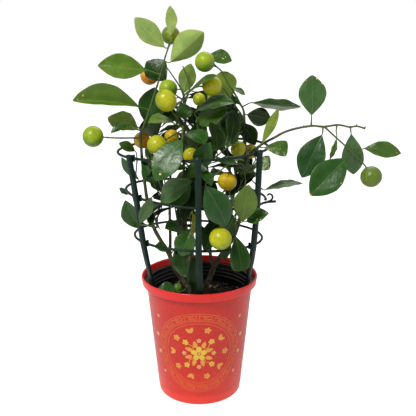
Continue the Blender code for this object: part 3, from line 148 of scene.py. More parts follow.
# fruit: what bears it (stem and height, or shoot, twig and share of the twig), distance from there to the
# fruit's middle, its direction, radius, squash along the axis
FRUIT_GROWTH = {
    "fruit_top": (("shoot_top_left", 0, 0.90), 26, (80, -42), 12.2, 1.0),
    "fruit_top_right": (("shoot_top_right", 0, 0.97), 17, (157, 8), 12.9, 0.98),
    "fruit_upper_left": (("shoot_front_left", 0, 0.35), 46, (118, 22), 13.2, 1.08),
    "fruit_upper_left_rear": (("shoot_centre_top", 0, 0.47), 20, (175, 37), 12.0, 1.0),
    "fruit_orange": (("shoot_top_left", 0, 0.60), 40, (170, -66), 12.8, 0.97),
    "fruit_upper_right": (("shoot_top_right", 1, 1.0), 18, (165, 24), 12.4, 1.0),
    "fruit_far_left": (("stalk_left", 400), 18, (172, 25), 13.9, 0.98),
    "fruit_amber": (("trunk_left", 372), 30, (264, -70), 11.6, 0.95),
    "fruit_inside_left": (("shoot_front_left", 0, 0.30), 41, (209, 24), 12.9, 1.0),
    "fruit_inside_yellow": (("stem_centre", 378), 21, (204, -21), 10.0, 1.0),
    "fruit_behind_stake": (("stem_centre", 362), 32, (-50, 61), 10.5, 1.0),
    "fruit_centre_yellow": (("fork_right", 400), 25, (101, 14), 8.6, 1.0),
    "fruit_right_inner": (("trunk_right", 368), 21, (230, 42), 9.8, 1.15),
    "fruit_right_rear": (("trunk_right", 356), 29, (-47, -62), 10.2, 1.0),
    "fruit_gold": (("shoot_front_right", 0, 0.62), 23, (256, -4), 12.5, 0.96),
    "fruit_low_front": (("shoot_front_right", 1, 0.78), 44, (232, 38), 14.3, 0.97),
    "fruit_far_right": (("shoot_arm_side", 0, 1.0), 16, (-60, 6), 14.3, 0.98),
    "fruit_small_low": (("trunk_left", 172), 16, (251, 36), 6.1, 1.15),
}

# shoot: twigs, each from a stem and a height, or a share of the first twig, with radius at foot and tip and
# its runs; leaves, each with its twig and share, stalk (length, direction), blade (length, direction), width,
# facing, fold of each half in degrees, bow of the blade in mm, share cut square off the tip
SHOOT_GROWTH = {
    "shoot_top_left": (
        [(("trunk_left", 400), 1.7, 0.9, [(23, 67, 0), (34, 71, 0), (30, 71, 0), (27, 74, 0), (16, 64, 4)])],
        [(0, 1.00, (6, 110, 5), (38, 89, 7), 17, (177, 24), 10, 2, 0),
         (0, 0.90, (5, 140, 0), (53, 135, 9), 29, (162, 8), 6, -2, 0),
         (0, 0.70, (14, 40, 0), (60, 41, 12), 36, (165, -6), 12, 4, 0),
         (0, 0.66, (20, 168, 8), (63, 174, 12), 35, (22, 3), 10, 3, 0),
         (0, 0.29, (14, 174, 10), (87, 173, 13), 46, (42, 0), 40, 4, 0.03),
         (0, 0.55, (14, 15, -38), (38, 135, -12), 34, (24, 6), 6, 2, 0),
         (0, 0.06, (14, 10, -59), (54, 80, -5), 38, (6, 11), 10, 3, 0),
         (0, 0.03, (5, 150, 20), (47, 152, 26), 31, (160, 3), 8, 3, 0),
         (0, 0.12, (28, 178, 45), (26, 204, 26), 13, (53, 0), 12, 2, 0)]),
    "shoot_centre_top": (
        [(("stem_centre", 420), 1.5, 0.8, [(21, 100, 5), (13, 113, 0), (28, 124, 0)]),
         (0.17, 1.1, 0.8, [(19, 70, -15), (12, 98, -3), (20, 111, 0)])],
        [(0, 0.15, (9, 150, 70), (74, 27, 37), 36, (68, -20), 10, 6, 0),
         (1, 0.20, (9, 150, -50), (40, 76, -8), 24, (171, 6), 8, 2, 0)]),
    "shoot_top_right": (
        [(("trunk_right", 400), 1.6, 1.0, [(19, 95, 0), (11, 90, 10), (10, 117, 12), (19, 118, 25), (19, 123, 20),
                                          (20, 120, 12), (10, 142, 8)]),
         (0.19, 1.1, 1.0, [(14, 120, 50), (28, 125, 30), (20, 122, 28)])],
        [(0, 0.59, (6, 110, 15), (19, -28, 12), 12, (55, 15), 10, 1, 0),
         (0, 1.00, (33, 126, -64), (32, -11, 4), 22, (31, 6), 8, 1, 0),
         (0, 0.34, (15, 32, 15), (65, -5, 9), 26, (58, 3), 6, -1.5, 0),
         (0, 0.23, (5, 40, 35), (34, -10, 20), 26, (19, 0), 6, 1, 0),
         (0, 0.08, (18, 176, -42), (31, 164, -36), 24, (72, 6), 10, 3, 0),
         (0, 0.12, (8, 145, 35), (36, -56, 5), 24, (18, 15), 10, 2, 0),
         (0, 0.05, (16, 185, 62), (33, 202, 20), 26, (25, 8), 8, 2, 0)]),
    "shoot_arm_foot": (
        [(("arching_branch", 352), 1.1, 0.9, [(8, -60, 60), (9, -80, 40)]),
         (0.30, 1.0, 0.9, [(9, 55, 35), (6, 66, 5)])],
        [(1, 1.00, (4, 45, 0), (52, 66, 4), 13, (165, 15), 10, 2, 0),
         (1, 0.45, (31, 48, 69), (30, -3, 8), 21, (20, 0), 6, 1, 0.34),
         (0, 1.00, (7, 240, 10), (24, 13, 20), 21, (29, 6), 6, 1, 0.30)]),
    "shoot_arm_side": (
        [(("arching_branch", 0.70), 1.1, 1.0, [(19, -42, 8), (17, -41, 5), (18, -43, 0), (16, -42, 0), (7, -50, 0)])],
        [(0, 0.66, (12, 220, 35), (70, 223, 14), 43, (24, -6), 12, 4, 0),
         (0, 0.90, (19, 88, 12), (48, -6, 8), 25, (36, 6), 12, 3, 0)]),
    "leaf_arm_upright": (
        [(("arching_branch", 0.605), 0.9, 0.9, [(10, 90, 0)])],
        [(0, 1.00, (4, 90, 0), (52, 91, -4), 37, (3, 3), 6, 2, 0)]),
    "leaf_arm_left": (
        [(("arching_branch", 0.69), 0.9, 0.9, [(8, -92, 15)])],
        [(0, 1.00, (3, 250, 10), (62, 245, 10), 37, (19, -6), 8, 3, 0)]),
    "leaf_arm_narrow": (
        [(("arching_branch", 0.79), 0.8, 0.8, [(8, -93, 0)])],
        [(0, 1.00, (12, -95, 45), (30, 258, -8), 11, (6, 35), 8, 1, 0)]),
    "leaf_arm_hanging": (
        [(("arching_branch", 0.89), 0.8, 0.8, [(7, -78, -18)])],
        [(0, 1.00, (3, -78, 0), (59, -80, -6), 30, (9, 8), 14, 3, 0)]),
    "shoot_front_left": (
        [(("stem_centre", 372), 1.2, 0.9, [(27, 95, 62), (35, 80, 78), (23, -85, 75)])],
        [(0, 1.00, (11, 270, 60), (60, 235, 21), 37, (23, -15), 10, 4, 0),
         (0, 0.55, (26, 262, 25), (42, 232, 12), 24, (30, -6), 12, 3, 0),
         (0, 0.45, (8, -35, 20), (38, -28, 48), 30, (63, 6), 12, 4, 0),
         (0, 0.35, (10, 145, 10), (41, 170, 32), 30, (66, -6), 12, 4, 0)]),
    "shoot_front_centre": (
        [(("stem_centre", 318), 1.1, 0.9, [(28, 225, 78), (30, 243, 70)])],
        [(0, 1.00, (26, 206, 38), (52, 38, 11), 31, (31, -20), 18, 5, 0),
         (0, 0.75, (25, 18, 40), (39, 216, 12), 26, (24, 6), 10, 3, 0),
         (0, 0.60, (14, 73, 34), (41, 22, 26), 28, (53, 0), 12, 4, 0)]),
    "shoot_left_low": (
        [(("trunk_left", 240), 1.1, 0.8, [(46, 65, 68), (34, 75, 78), (17, 150, 40)]),
         (0.10, 1.0, 0.8, [(20, 169, -30), (22, 117, -10), (20, 105, 0)])],
        [(0, 1.00, (10, 175, -20), (40, 66, 3), 16, (12, 14), 10, 2, 0),
         (1, 0.32, (9, 250, 0), (50, 115, 12), 30, (12, -20), 16, 3, 0),
         (1, 1.00, (3, 120, 0), (27, 120, 17), 13, (9, -20), 8, 1, 0)]),
    "shoot_left_mid": (
        [(("trunk_left", 340), 1.0, 0.8, [(12, 190, -30), (9, 205, -15)]),
         (0.40, 0.9, 0.8, [(26, 262, -20)])],
        [(1, 1.00, (7, 300, 0), (40, 124, 13), 15, (12, -28), 8, 2, 0),
         (0, 0.60, (12, 85, 5), (25, 150, 15), 15, (30, 12), 8, 1, 0),
         (0, 0.45, (26, 8, 62), (44, -58, 14), 27, (30, 6), 10, 3, 0)]),
    "shoot_front_right": (
        [(("trunk_right", 324), 1.2, 0.9, [(35, 113, 65), (37, 162, 60), (33, 207, 47)]),
         (0.28, 1.1, 0.8, [(31, -81, 51), (33, 247, 37), (30, 260, 19)]),
         (0.15, 1.0, 0.8, [(22, -56, 3), (20, -43, -20)])],
        [(0, 1.00, (19, 222, 42), (57, -62, 4), 36, (21, 7), 10, 5, 0),
         (1, 0.93, (10, 15, 20), (55, 83, 12), 31, (13, 0), 8, 3, 0),
         (1, 0.85, (18, -30, -27), (35, 39, 17), 22, (53, 6), 10, 3, 0),
         (2, 1.00, (4, -20, 0), (53, 14, 13), 20, (68, 3), 3, 3, 0),
         (1, 1.00, (12, -80, 45), (45, -80, 12), 27, (9, 9), 8, 2, 0.20)]),
    "shoot_front_low": (
        [(("stem_centre", 262), 1.1, 0.8, [(28, 55, 74), (27, 20, 76), (19, 80, 57)]),
         (0.38, 0.9, 0.8, [(23, -80, 38), (20, -78, 24)])],
        [(0, 0.80, (14, 278, 0), (40, 250, 12), 28, (22, -6), 14, 4, 0),
         (0, 1.00, (8, 60, 48), (31, 268, 12), 14, (0, 53), 14, 2, 0),
         (1, 1.00, (14, -70, 20), (50, -90, 3), 21, (6, -12), 12, 2, 0),
         (1, 0.45, (6, 200, 15), (34, 156, 45), 26, (53, 0), 12, 3, 0)]),
    "shoot_low_left": (
        [(("trunk_left", 192), 1.0, 0.8, [(17, 90, 45), (14, 90, 45)])],
        [(0, 1.00, (14, 105, 50), (23, 158, 32), 18, (53, 0), 10, 2, 0),
         (0, 0.80, (16, 67, 38), (28, 56, 40), 22, (45, 6), 10, 3, 0)]),
    "leaf_over_soil": (
        [(("trunk_left", 159), 0.9, 0.8, [(12, 220, 78), (9, 180, 35)])],
        [(0, 1.00, (5, 180, 0), (26, 164, 16), 24, (52, -9), 10, 3, 0)]),
    "shoot_crown_centre": (
        [(("fork_right", 400), 1.3, 0.9, [(17, 95, 75), (25, 205, 75), (12, 240, 70)]),
         (0.90, 0.9, 0.8, [(26, 280, 10)])],
        [(0, 0.85, (10, 105, 0), (57, 18, 27), 34, (60, 0), 14, 6, 0),
         (0, 0.70, (9, 265, 25), (49, 32, 24), 32, (30, 9), 12, 4, 0),
         (0, 0.05, (12, 15, -45), (63, 62, 7), 35, (168, 6), 8, 3, 0.14),
         (0, 0.30, (15, 152, 30), (40, 174, 27), 32, (63, -6), 12, 4, 0),
         (0, 0.35, (8, -50, 20), (41, -12, 26), 34, (60, 6), 12, 4, 0),
         (1, 1.00, (6, 190, 50), (35, -12, 22), 24, (47, 3), 8, 2, 0)]),
}


def start_of(place, stems):
    """A stem's point at a height, or at a share of its length when the number is a share."""
    name, where = place
    return along(stems[name], where) if where < 1.0 else at_height(stems[name], where)


def grow_stems():
    stems = {}
    for name, (place, thick, thin, runs) in STEM_GROWTH.items():
        start = place if len(place) == 3 else start_of(place, stems)
        stems[name] = tapered(grown(start, runs), thick, thin, 1.5 if name.startswith("trunk") else 1.0)
    return stems


def grow_shoots():
    shoots = {}
    for name, (twigs, leaves) in SHOOT_GROWTH.items():
        paths, blades = [], []
        for place, thick, thin, runs in twigs:
            start = along(paths[0], place) if isinstance(place, float) else start_of(place, STEMS)
            paths.append(tapered(grown(start, runs), thick, thin))
        for twig, share, (stalk, *way), (length, *lie), width, face, fold, bow, cut in leaves:
            base = along(paths[twig], share) + heading(*way) * stalk
            tip = base + heading(*lie) * length
            blades.append((tuple(base), tuple(tip), width, facing(*face), fold, bow, cut))
        shoots[name] = {"twigs": paths, "leaves": blades}
    return shoots


def hang_fruits():
    fruits = {}
    for name, (bearer, reach, way, radius, squash) in FRUIT_GROWTH.items():
        if len(bearer) == 3:
            origin = along(SHOOTS[bearer[0]]["twigs"][bearer[1]], bearer[2])
        else:
            origin = start_of(bearer, STEMS)
        fruits[name] = (tuple(origin + heading(*way) * reach), radius, squash, tuple(origin))
    return fruits


STEMS = grow_stems()
SHOOTS = grow_shoots()
FRUITS = hang_fruits()

# the shoots of the dense inner and rear crown: twigs and number of leaves on them
FILLERS = {
    "shoot_back_left": ([[(-46, 46, 268, 1.3), (-56, 62, 286, 1.1), (-60, 70, 312, 1.0), (-62, 72, 344, 0.9),
                          (-60, 66, 376, 0.8)],
                         [(-58, 66, 299, 1.0), (-72, 52, 306, 0.9), (-80, 38, 318, 0.8)],
                         [(-55, 60, 284, 1.0), (-40, 66, 262, 0.9), (-22, 64, 242, 0.8)]], 24),
    "shoot_back_right": ([[(49, 42, 276, 1.3), (56, 58, 292, 1.1), (60, 66, 316, 1.0), (64, 66, 346, 0.9),
                           (68, 58, 378, 0.8)],
                          [(58, 62, 304, 1.0), (74, 48, 312, 0.9), (80, 34, 322, 0.8)],
                          [(61, 66, 320, 1.0), (44, 70, 336, 0.9), (30, 68, 356, 0.8)]], 22),
    "shoot_back_middle": ([[(15, 32, 306, 1.3), (6, 54, 316, 1.1), (2, 68, 336, 1.0), (2, 72, 368, 0.9),
                            (6, 62, 400, 0.8)],
                           [(4, 61, 326, 1.0), (-14, 68, 318, 0.9), (-24, 70, 300, 0.8)],
                           [(2, 71, 364, 1.0), (-18, 66, 384, 0.9), (-36, 60, 398, 0.8)]], 24),
    "shoot_inner_left": ([[(-26, 2, 272, 1.3), (-42, -12, 284, 1.1), (-54, -28, 300, 1.0), (-60, -38, 322, 0.9),
                           (-66, -30, 348, 0.8)],
                          [(-44, -15, 287, 1.0), (-58, -22, 270, 0.9), (-64, -28, 252, 0.8)],
                          [(-34, -5, 278, 1.0), (-30, -14, 256, 0.9), (-24, -20, 232, 0.8)]], 20),
    "shoot_inner_right": ([[(20, 22, 278, 1.3), (30, 0, 284, 1.1), (38, -22, 290, 1.0), (52, -36, 306, 0.9),
                            (62, -38, 330, 0.8)],
                           [(32, -6, 285, 1.0), (36, -18, 266, 0.9), (34, -32, 248, 0.8)]], 16),
    "shoot_inner_front": ([[(-20, -2, 336, 1.3), (-8, -20, 330, 1.1), (4, -44, 334, 1.0), (22, -54, 352, 0.9),
                            (42, -54, 368, 0.8)],
                           [(0, -37, 332, 1.0), (-4, -52, 324, 0.9), (-4, -66, 312, 0.8)]], 15),
    "shoot_crown_rear": ([[(-27, 42, 408, 1.3), (-20, 34, 424, 1.1), (-6, 30, 434, 1.0), (12, 34, 436, 0.9),
                           (28, 34, 430, 0.8)],
                          [(-23, 38, 417, 1.0), (-38, 36, 428, 0.9), (-48, 28, 440, 0.8)],
                         [(12, 34, 435, 1.0), (14, 46, 414, 0.9), (10, 54, 394, 0.8)]], 19),
}

# how far the inner leaves reach: height of the crown over x, then left and right limits over height
CROWN_TOP = [(-90, 405), (-72, 432), (-60, 436), (-46, 428), (-30, 422), (-15, 424), (0, 432), (12, 440), (32, 448),
             (46, 450), (54, 432), (58, 408), (74, 402), (90, 384)]
CROWN_SIDES = [(182, -45, 55), (238, -50, 58), (246, -78, 80), (275, -80, 86), (335, -82, 82), (345, -98, 80),
               (372, -98, 80), (380, -84, 86), (408, -80, 74), (450, -76, 58)]
SHOWN = ["fruit_gold", "fruit_right_inner", "fruit_right_rear", "fruit_amber", "fruit_inside_left",
         "fruit_upper_left", "fruit_upper_left_rear", "fruit_upper_right", "fruit_top_right", "fruit_low_front"]
SIGHT_DROP = 0.17  # a line of sight from the front falls this much for each mm it goes back

# ---------------------------------------------------------------- geometry of the layout
def vec(p):
    return np.array(p[:3], float)


def unit(v):
    n = np.linalg.norm(v)
    return v / n if n > 1e-9 else v


def smooth_path(points, step):
    """A smooth line through the points of a stem (Catmull-Rom), about one point every step."""
    pts = np.array(points, float)
    ext = np.vstack([2 * pts[0] - pts[1], pts, 2 * pts[-1] - pts[-2]])
    out = [pts[0]]
    for i in range(1, len(ext) - 2):
        a, b, c, d = ext[i - 1], ext[i], ext[i + 1], ext[i + 2]
        n = max(1, int(round(np.linalg.norm(c[:3] - b[:3]) / step)))
        for k in range(1, n + 1):
            t = k / n
            out.append(0.5 * (2 * b + (c - a) * t + (2 * a - 5 * b + 4 * c - d) * t * t
                              + (3 * b - a - 3 * c + d) * t ** 3))
    return np.array(out)


def tube_faces(path, sides, extra=0.0):
    """A closed tube round a path of (x, y, z, radius): its points and its faces."""
    path = np.array(path, float)
    pts, faces = [], []
    for i, p in enumerate(path):
        ahead = path[min(i + 1, len(path) - 1), :3] - path[max(i - 1, 0), :3]
        t = unit(ahead)
        ref = np.array((0.0, 0.0, 1.0)) if abs(t[2]) < 0.8 else np.array((1.0, 0.0, 0.0))
        u = unit(np.cross(t, ref))
        w = np.cross(t, u)
        r = (p[3] + extra) / math.cos(math.pi / sides) if extra else p[3]
        c = p[:3] + (t * extra * (1 if i == len(path) - 1 else -1 if i == 0 else 0))
        for k in range(sides):
            a = 2 * math.pi * k / sides
            pts.append(c + r * (math.cos(a) * u + math.sin(a) * w))
    for i in range(len(path) - 1):
        for k in range(sides):
            a, b = i * sides + k, i * sides + (k + 1) % sides
            faces.append((a, b, b + sides, a + sides))
    faces.append(tuple(range(sides - 1, -1, -1)))
    last = (len(path) - 1) * sides
    faces.append(tuple(last + k for k in range(sides)))
    return pts, faces


def blade_width(v, cut):
    """Width of a citrus leaf at v along it, as a share of its widest."""
    s = min(max(v, 0.0), 1.0) * (1.0 - cut)
    return max(math.sin(math.pi * s ** 1.12), 0.0) ** 0.82


def leaf_frame(leaf):
    base, tip, width, normal, fold, bow, cut = leaf
    b, t = vec(base), vec(tip)
    axis = unit(t - b)
    n = np.array(normal, float)
    n = unit(n - axis * n.dot(axis))
    return b, t, axis, n, np.cross(axis, n)


def blade_point(leaf, u, v):
    """A point of the blade: u from -1 to 1 across it, v from 0 to 1 along it."""
    b, t, axis, n, side = leaf_frame(leaf)
    half = 0.5 * leaf[2] * blade_width(v, leaf[6])
    f = math.radians(leaf[4])
    lift = abs(u) * half * math.sin(f) + leaf[5] * 4 * v * (1 - v) - leaf[5] * 0.3 * v * v
    return b + (t - b) * v + side * (u * half * math.cos(f)) + n * lift


def leaf_rows(leaf, root, rows, grow=0.0):
    """Two points at the stalk's foot and top, three a row over the blade, one at a pointed tip."""
    b, t, axis, n, side = leaf_frame(leaf)
    stalk = unit(b - root)
    across = unit(np.cross(stalk, n)) if np.linalg.norm(np.cross(stalk, n)) > 0.1 else side
    if across.dot(side) < 0:
        across = -across
    w = 0.8 + grow
    out = [[root - across * w, root + across * w], [b - side * w, b + side * w]]
    for v in rows + ((1.0,) if leaf[6] > 0.0 else ()):
        row = [blade_point(leaf, u, v) for u in (-1.0, 0.0, 1.0)]
        row[0] = row[0] - side * grow
        row[2] = row[2] + side * grow
        out.append(row)
    if leaf[6] == 0.0:
        out.append([blade_point(leaf, 0.0, 1.0) + axis * grow])
    return out


def blade_faces(index):
    """Faces between rows of 1, 2 or 3 points."""
    faces = []
    for a, b in zip(index, index[1:]):
        if len(a) == 2 and len(b) == 2:
            faces.append((a[0], a[1], b[1], b[0]))
        elif len(a) == 2:
            faces += [(a[0], b[1], b[0]), (a[0], a[1], b[1]), (a[1], b[2], b[1])]
        elif len(b) == 3:
            faces += [(a[0], a[1], b[1], b[0]), (a[1], a[2], b[2], b[1])]
        else:
            faces += [(a[0], a[1], b[0]), (a[1], a[2], b[0])]
    return faces


def leaf_faces(leaf, root, rows, grow=0.0, stalk=True):
    """The leaf as a thin solid, grown a little, for testing that it clears its neighbours."""
    grid = leaf_rows(leaf, root, rows, grow)[0 if stalk else 1:]
    n = leaf_frame(leaf)[3]
    flat, index = [], []
    for row in grid:
        index.append([len(flat) + k for k in range(len(row))])
        flat.extend(row)
    m = len(flat)
    off = n * (LEAF_THICK / 2 + grow)
    pts = [p + off for p in flat] + [p - off for p in flat]
    faces = blade_faces(index)
    faces += [tuple(m + k for k in reversed(f)) for f in faces]
    rim = [row[0] for row in index] + [row[-1] for row in reversed(index)]
    for a, b in zip(rim, rim[1:] + rim[:1]):
        if a != b:
            faces.append((a, b, m + b, m + a))
    return pts, faces


def ball_faces(centre, radius, squash, extra=0.0):
    pts, faces = [], []
    rings, seg = 6, 12
    r = radius + extra
    for i in range(rings + 1):
        phi = math.pi * i / rings
        for k in range(seg):
            a = 2 * math.pi * k / seg
            pts.append(vec(centre) + 1.03 * r * np.array((math.sin(phi) * math.cos(a), math.sin(phi) * math.sin(a),
                                                         math.cos(phi) * max(squash, 1.0))))
    for i in range(rings):
        for k in range(seg):
            a, b = i * seg + k, i * seg + (k + 1) % seg
            faces.append((a, b, b + seg, a + seg))
    return pts, faces


class Space:
    """What has been placed so far, to keep each new piece clear of it."""

    def __init__(self):
        self.items = []

    def add(self, owner, pts, faces):
        pts = np.array(pts)
        tree = BVHTree.FromPolygons([tuple(p) for p in pts], faces)
        self.items.append((owner, pts.min(0), pts.max(0), tree))

    def hits(self, pts, faces, skip=()):
        pts = np.array(pts)
        lo, hi = pts.min(0), pts.max(0)
        tree = None
        found = []
        for owner, a, b, other in self.items:
            if owner in skip or (lo > b).any() or (hi < a).any():
                continue
            if tree is None:
                tree = BVHTree.FromPolygons([tuple(p) for p in pts], faces)
            if tree.overlap(other):
                found.append(owner)
        return found


def ring_path(name, count=40):
    cx, cy, cz, r, sx, sy = RINGS[name]
    out = []
    for k in range(count + 1):
        a = 2 * math.pi * k / count
        x, y = cx + r * math.cos(a), cy + r * math.sin(a)
        out.append((x, y, cz + sx * (x - cx) + sy * (y - cy), RING_ROD))
    return out


def stake_angle(z, name):
    """The side stakes swing round towards the front between the pot's rim and the lowest ring."""
    rim, ring = STAKE_ANGLES[name]
    return rim + (ring - rim) * min(max((z - 150.0) / 82.0, 0.0), 1.0)


def ring_at(ring, angle):
    """Distance from the z axis, and height, of a ring in a direction."""
    cx, cy, cz, r, sx, sy = RINGS[ring]
    a = math.radians(angle)
    d = cx * math.cos(a) + cy * math.sin(a)
    off = -cx * math.sin(a) + cy * math.cos(a)
    reach = d + math.sqrt(r * r - off * off)
    x, y = reach * math.cos(a), reach * math.sin(a)
    return reach, cz + sx * (x - cx) + sy * (y - cy)


def stake_top(name):
    """A stake ends just above the top ring."""
    return ring_at("top", STAKE_ANGLES[name][1])[1] + STAKE_ABOVE_RING


def stake_radius(z, name):
    """Distance of a stake's middle from the z axis: it leans out to stay just outside each ring."""
    marks = [(STAKE_FOOT_Z, STAKE_FOOT_RADIUS), (164.0, 69.0)]
    for ring in ("bottom", "middle", "top"):
        reach, height = ring_at(ring, STAKE_ANGLES[name][1])
        marks.append((height, reach + RING_ROD + 0.5 + STAKE_DEPTH_TOP / 2))
    marks.append((stake_top(name), marks[-1][1] + 0.2))
    zs, rs = zip(*marks)
    return float(np.interp(z, zs, rs))


def stake_stations(name):
    """Middle, width, depth, outward and sideways directions up the stake."""
    levels = [STAKE_FOOT_Z, 128.0, 150.0, 164.0, 182.0, 206.0]
    levels += [ring_at(ring, STAKE_ANGLES[name][1])[1] for ring in ("bottom", "middle", "top")]
    levels += [262.0, 324.0, stake_top(name)]
    out = []
    for z in sorted(levels):
        k = min(max((z - 140.0) / 220.0, 0.0), 1.0)
        wide = STAKE_WIDTH_FOOT + (STAKE_WIDTH_TOP - STAKE_WIDTH_FOOT) * k
        kd = min(max((z - 170.0) / 50.0, 0.0), 1.0)
        deep = STAKE_DEPTH_FOOT + (STAKE_DEPTH_TOP - STAKE_DEPTH_FOOT) * kd
        r, a = stake_radius(z, name), math.radians(stake_angle(z, name))
        u, w = np.array((math.cos(a), math.sin(a), 0.0)), np.array((-math.sin(a), math.cos(a), 0.0))
        out.append((u * r + np.array((0.0, 0.0, z)), wide, deep, u, w))
    return out


def stake_block(name, extra=0.0):
    """The stake's outer block, for testing."""
    pts, faces = [], []
    for c, wide, deep, out, side in stake_stations(name):
        for u, w in ((1, 1), (1, -1), (-1, -1), (-1, 1)):
            pts.append(c + side * u * (wide / 2 + extra) + out * w * (deep / 2 + extra))
    for i in range(len(pts) // 4 - 1):
        for k in range(4):
            a0, b0 = 4 * i + k, 4 * i + (k + 1) % 4
            faces.append((a0, b0, b0 + 4, a0 + 4))
    return pts, faces


def root_on(paths, p, used=()):
    """The point of the twigs nearest p, kept off their very ends and off the roots already used."""
    best = None
    for path in paths:
        fine = [vec(q) for q in resample(path, 0.8)]
        for k in range(1, max(len(fine) - 1, 2)):
            near = min([np.linalg.norm(fine[k] - u) for u in used] or [9.0])
            cost = np.linalg.norm(p - fine[k]) + 4.0 * max(1.8 - near, 0.0)
            if best is None or cost < best[0]:
                best = (cost, fine[k])
    return best[1]


def trimmed(path, space, owner, skip=(), from_end=False, extra=GAP + 0.2, sides=8):
    """The path with its start (or end) moved along it until the tube clears what is there."""
    work = list(map(tuple, path))
    if from_end:
        work.reverse()
    work = resample(work, 1.0)
    for cut in range(0, max(len(work) - 3, 1)):
        piece = work[cut:]
        head = piece[:6]
        if not space.hits(*tube_faces(head, sides, extra), skip=skip):
            work = piece
            break
    if from_end:
        work.reverse()
    return work


def resample(path, step):
    arr = np.array(path, float)
    out = [tuple(arr[0])]
    for a, b in zip(arr, arr[1:]):
        n = max(1, int(np.linalg.norm(b[:3] - a[:3]) / step))
        for k in range(1, n + 1):
            out.append(tuple(a + (b - a) * k / n))
    return out


def thin_out(path, step):
    """Fewer points along a finely divided path."""
    arr = [np.array(p, float) for p in path]
    out = [arr[0]]
    run = 0.0
    for a, b in zip(arr, arr[1:]):
        run += np.linalg.norm(b[:3] - a[:3])
        if run >= step:
            out.append(b)
            run = 0.0
    if np.linalg.norm(out[-1][:3] - arr[-1][:3]) > step * 0.4 or len(out) == 1:
        out.append(arr[-1])
    else:
        out[-1] = arr[-1]
    return out


def turned_about(v, axis, degrees):
    a = math.radians(degrees)
    return v * math.cos(a) + np.cross(axis, v) * math.sin(a) + axis * axis.dot(v) * (1 - math.cos(a))


def varied(leaf, roll, lift, swing, scale):
    """The same leaf, rolled about its axis and turned a little about its base."""
    base, tip, width, normal, fold, bow, cut = leaf
    b, t, axis, n, side = leaf_frame(leaf)
    run = (t - b) * scale
    run = turned_about(run, side, lift)
    run = turned_about(run, n, swing)
    n2 = turned_about(turned_about(turned_about(n, side, lift), n, swing), unit(run), roll)
    return (tuple(b), tuple(b + run), width * scale, tuple(n2), fold, bow, cut)


def within_crown(leaf):
    """Whether a leaf keeps inside the crown's outline as seen from the front."""
    heights, left, right = zip(*CROWN_SIDES)
    spans, tops = zip(*CROWN_TOP)
    for v in (0.3, 0.6, 0.85, 1.0):
        for u in (-1.0, 0.0, 1.0):
            x, y, z = blade_point(leaf, u, v)
            z += SIGHT_DROP * (y - 10.0) * 0.8
            if z > np.interp(x, spans, tops) or not np.interp(z, heights, left) < x < np.interp(z, heights, right):
                return False
    return True


def hides_fruit(leaf):
    """Whether a leaf stands in front of a fruit that should show."""
    for name in SHOWN:
        (cx, cy, cz), radius = FRUITS[name][:2]
        for v in (0.0, 0.2, 0.4, 0.6, 0.8, 1.0):
            for u in (-1.0, 0.0, 1.0):
                x, y, z = blade_point(leaf, u, v)
                if y < cy and math.hypot(x - cx, z - cz - SIGHT_DROP * (cy - y)) < radius + 1.5:
                    return True
    return False


TRIES = [(0, 0, 0, 1.0), (0, 6, 0, 1.0), (0, -6, 0, 1.0), (0, 0, 7, 1.0), (0, 0, -7, 1.0), (12, 0, 0, 1.0),
         (-12, 0, 0, 1.0), (0, 12, 0, 1.0), (0, -12, 0, 1.0), (0, 0, 13, 1.0), (0, 0, -13, 1.0), (20, 6, 0, 1.0),
         (-20, 6, 0, 1.0), (20, -6, 0, 1.0), (-20, -6, 0, 1.0), (0, 0, 0, 0.88), (0, 9, 0, 0.88), (0, -9, 0, 0.88),
         (0, 0, 10, 0.88), (0, 0, -10, 0.88), (25, 0, 10, 0.88), (-25, 0, -10, 0.88), (25, 0, -10, 0.88),
         (-25, 0, 10, 0.88), (0, 18, 0, 0.88), (0, -18, 0, 0.88), (35, 12, 0, 0.8), (-35, 12, 0, 0.8),
         (35, -12, 0, 0.8), (-35, -12, 0, 0.8), (0, 16, 16, 0.8), (0, -16, 16, 0.8), (0, 16, -16, 0.8),
         (0, -16, -16, 0.8), (0, 0, 0, 0.7), (30, 10, 10, 0.7), (-30, 10, -10, 0.7), (30, -10, -10, 0.7),
         (-30, -10, 10, 0.7), (0, 24, 0, 0.7), (0, -24, 0, 0.7), (0, 0, 24, 0.7), (0, 0, -24, 0.7)]


def rows_of(shoot):
    """Blade rows of a leaf: the leaves of the outer shoots are drawn more finely."""
    return (0.30, 0.66) if shoot in SHOOTS else (0.46,)


STEM_STEP, TWIG_STEP = 11.0, 10.0


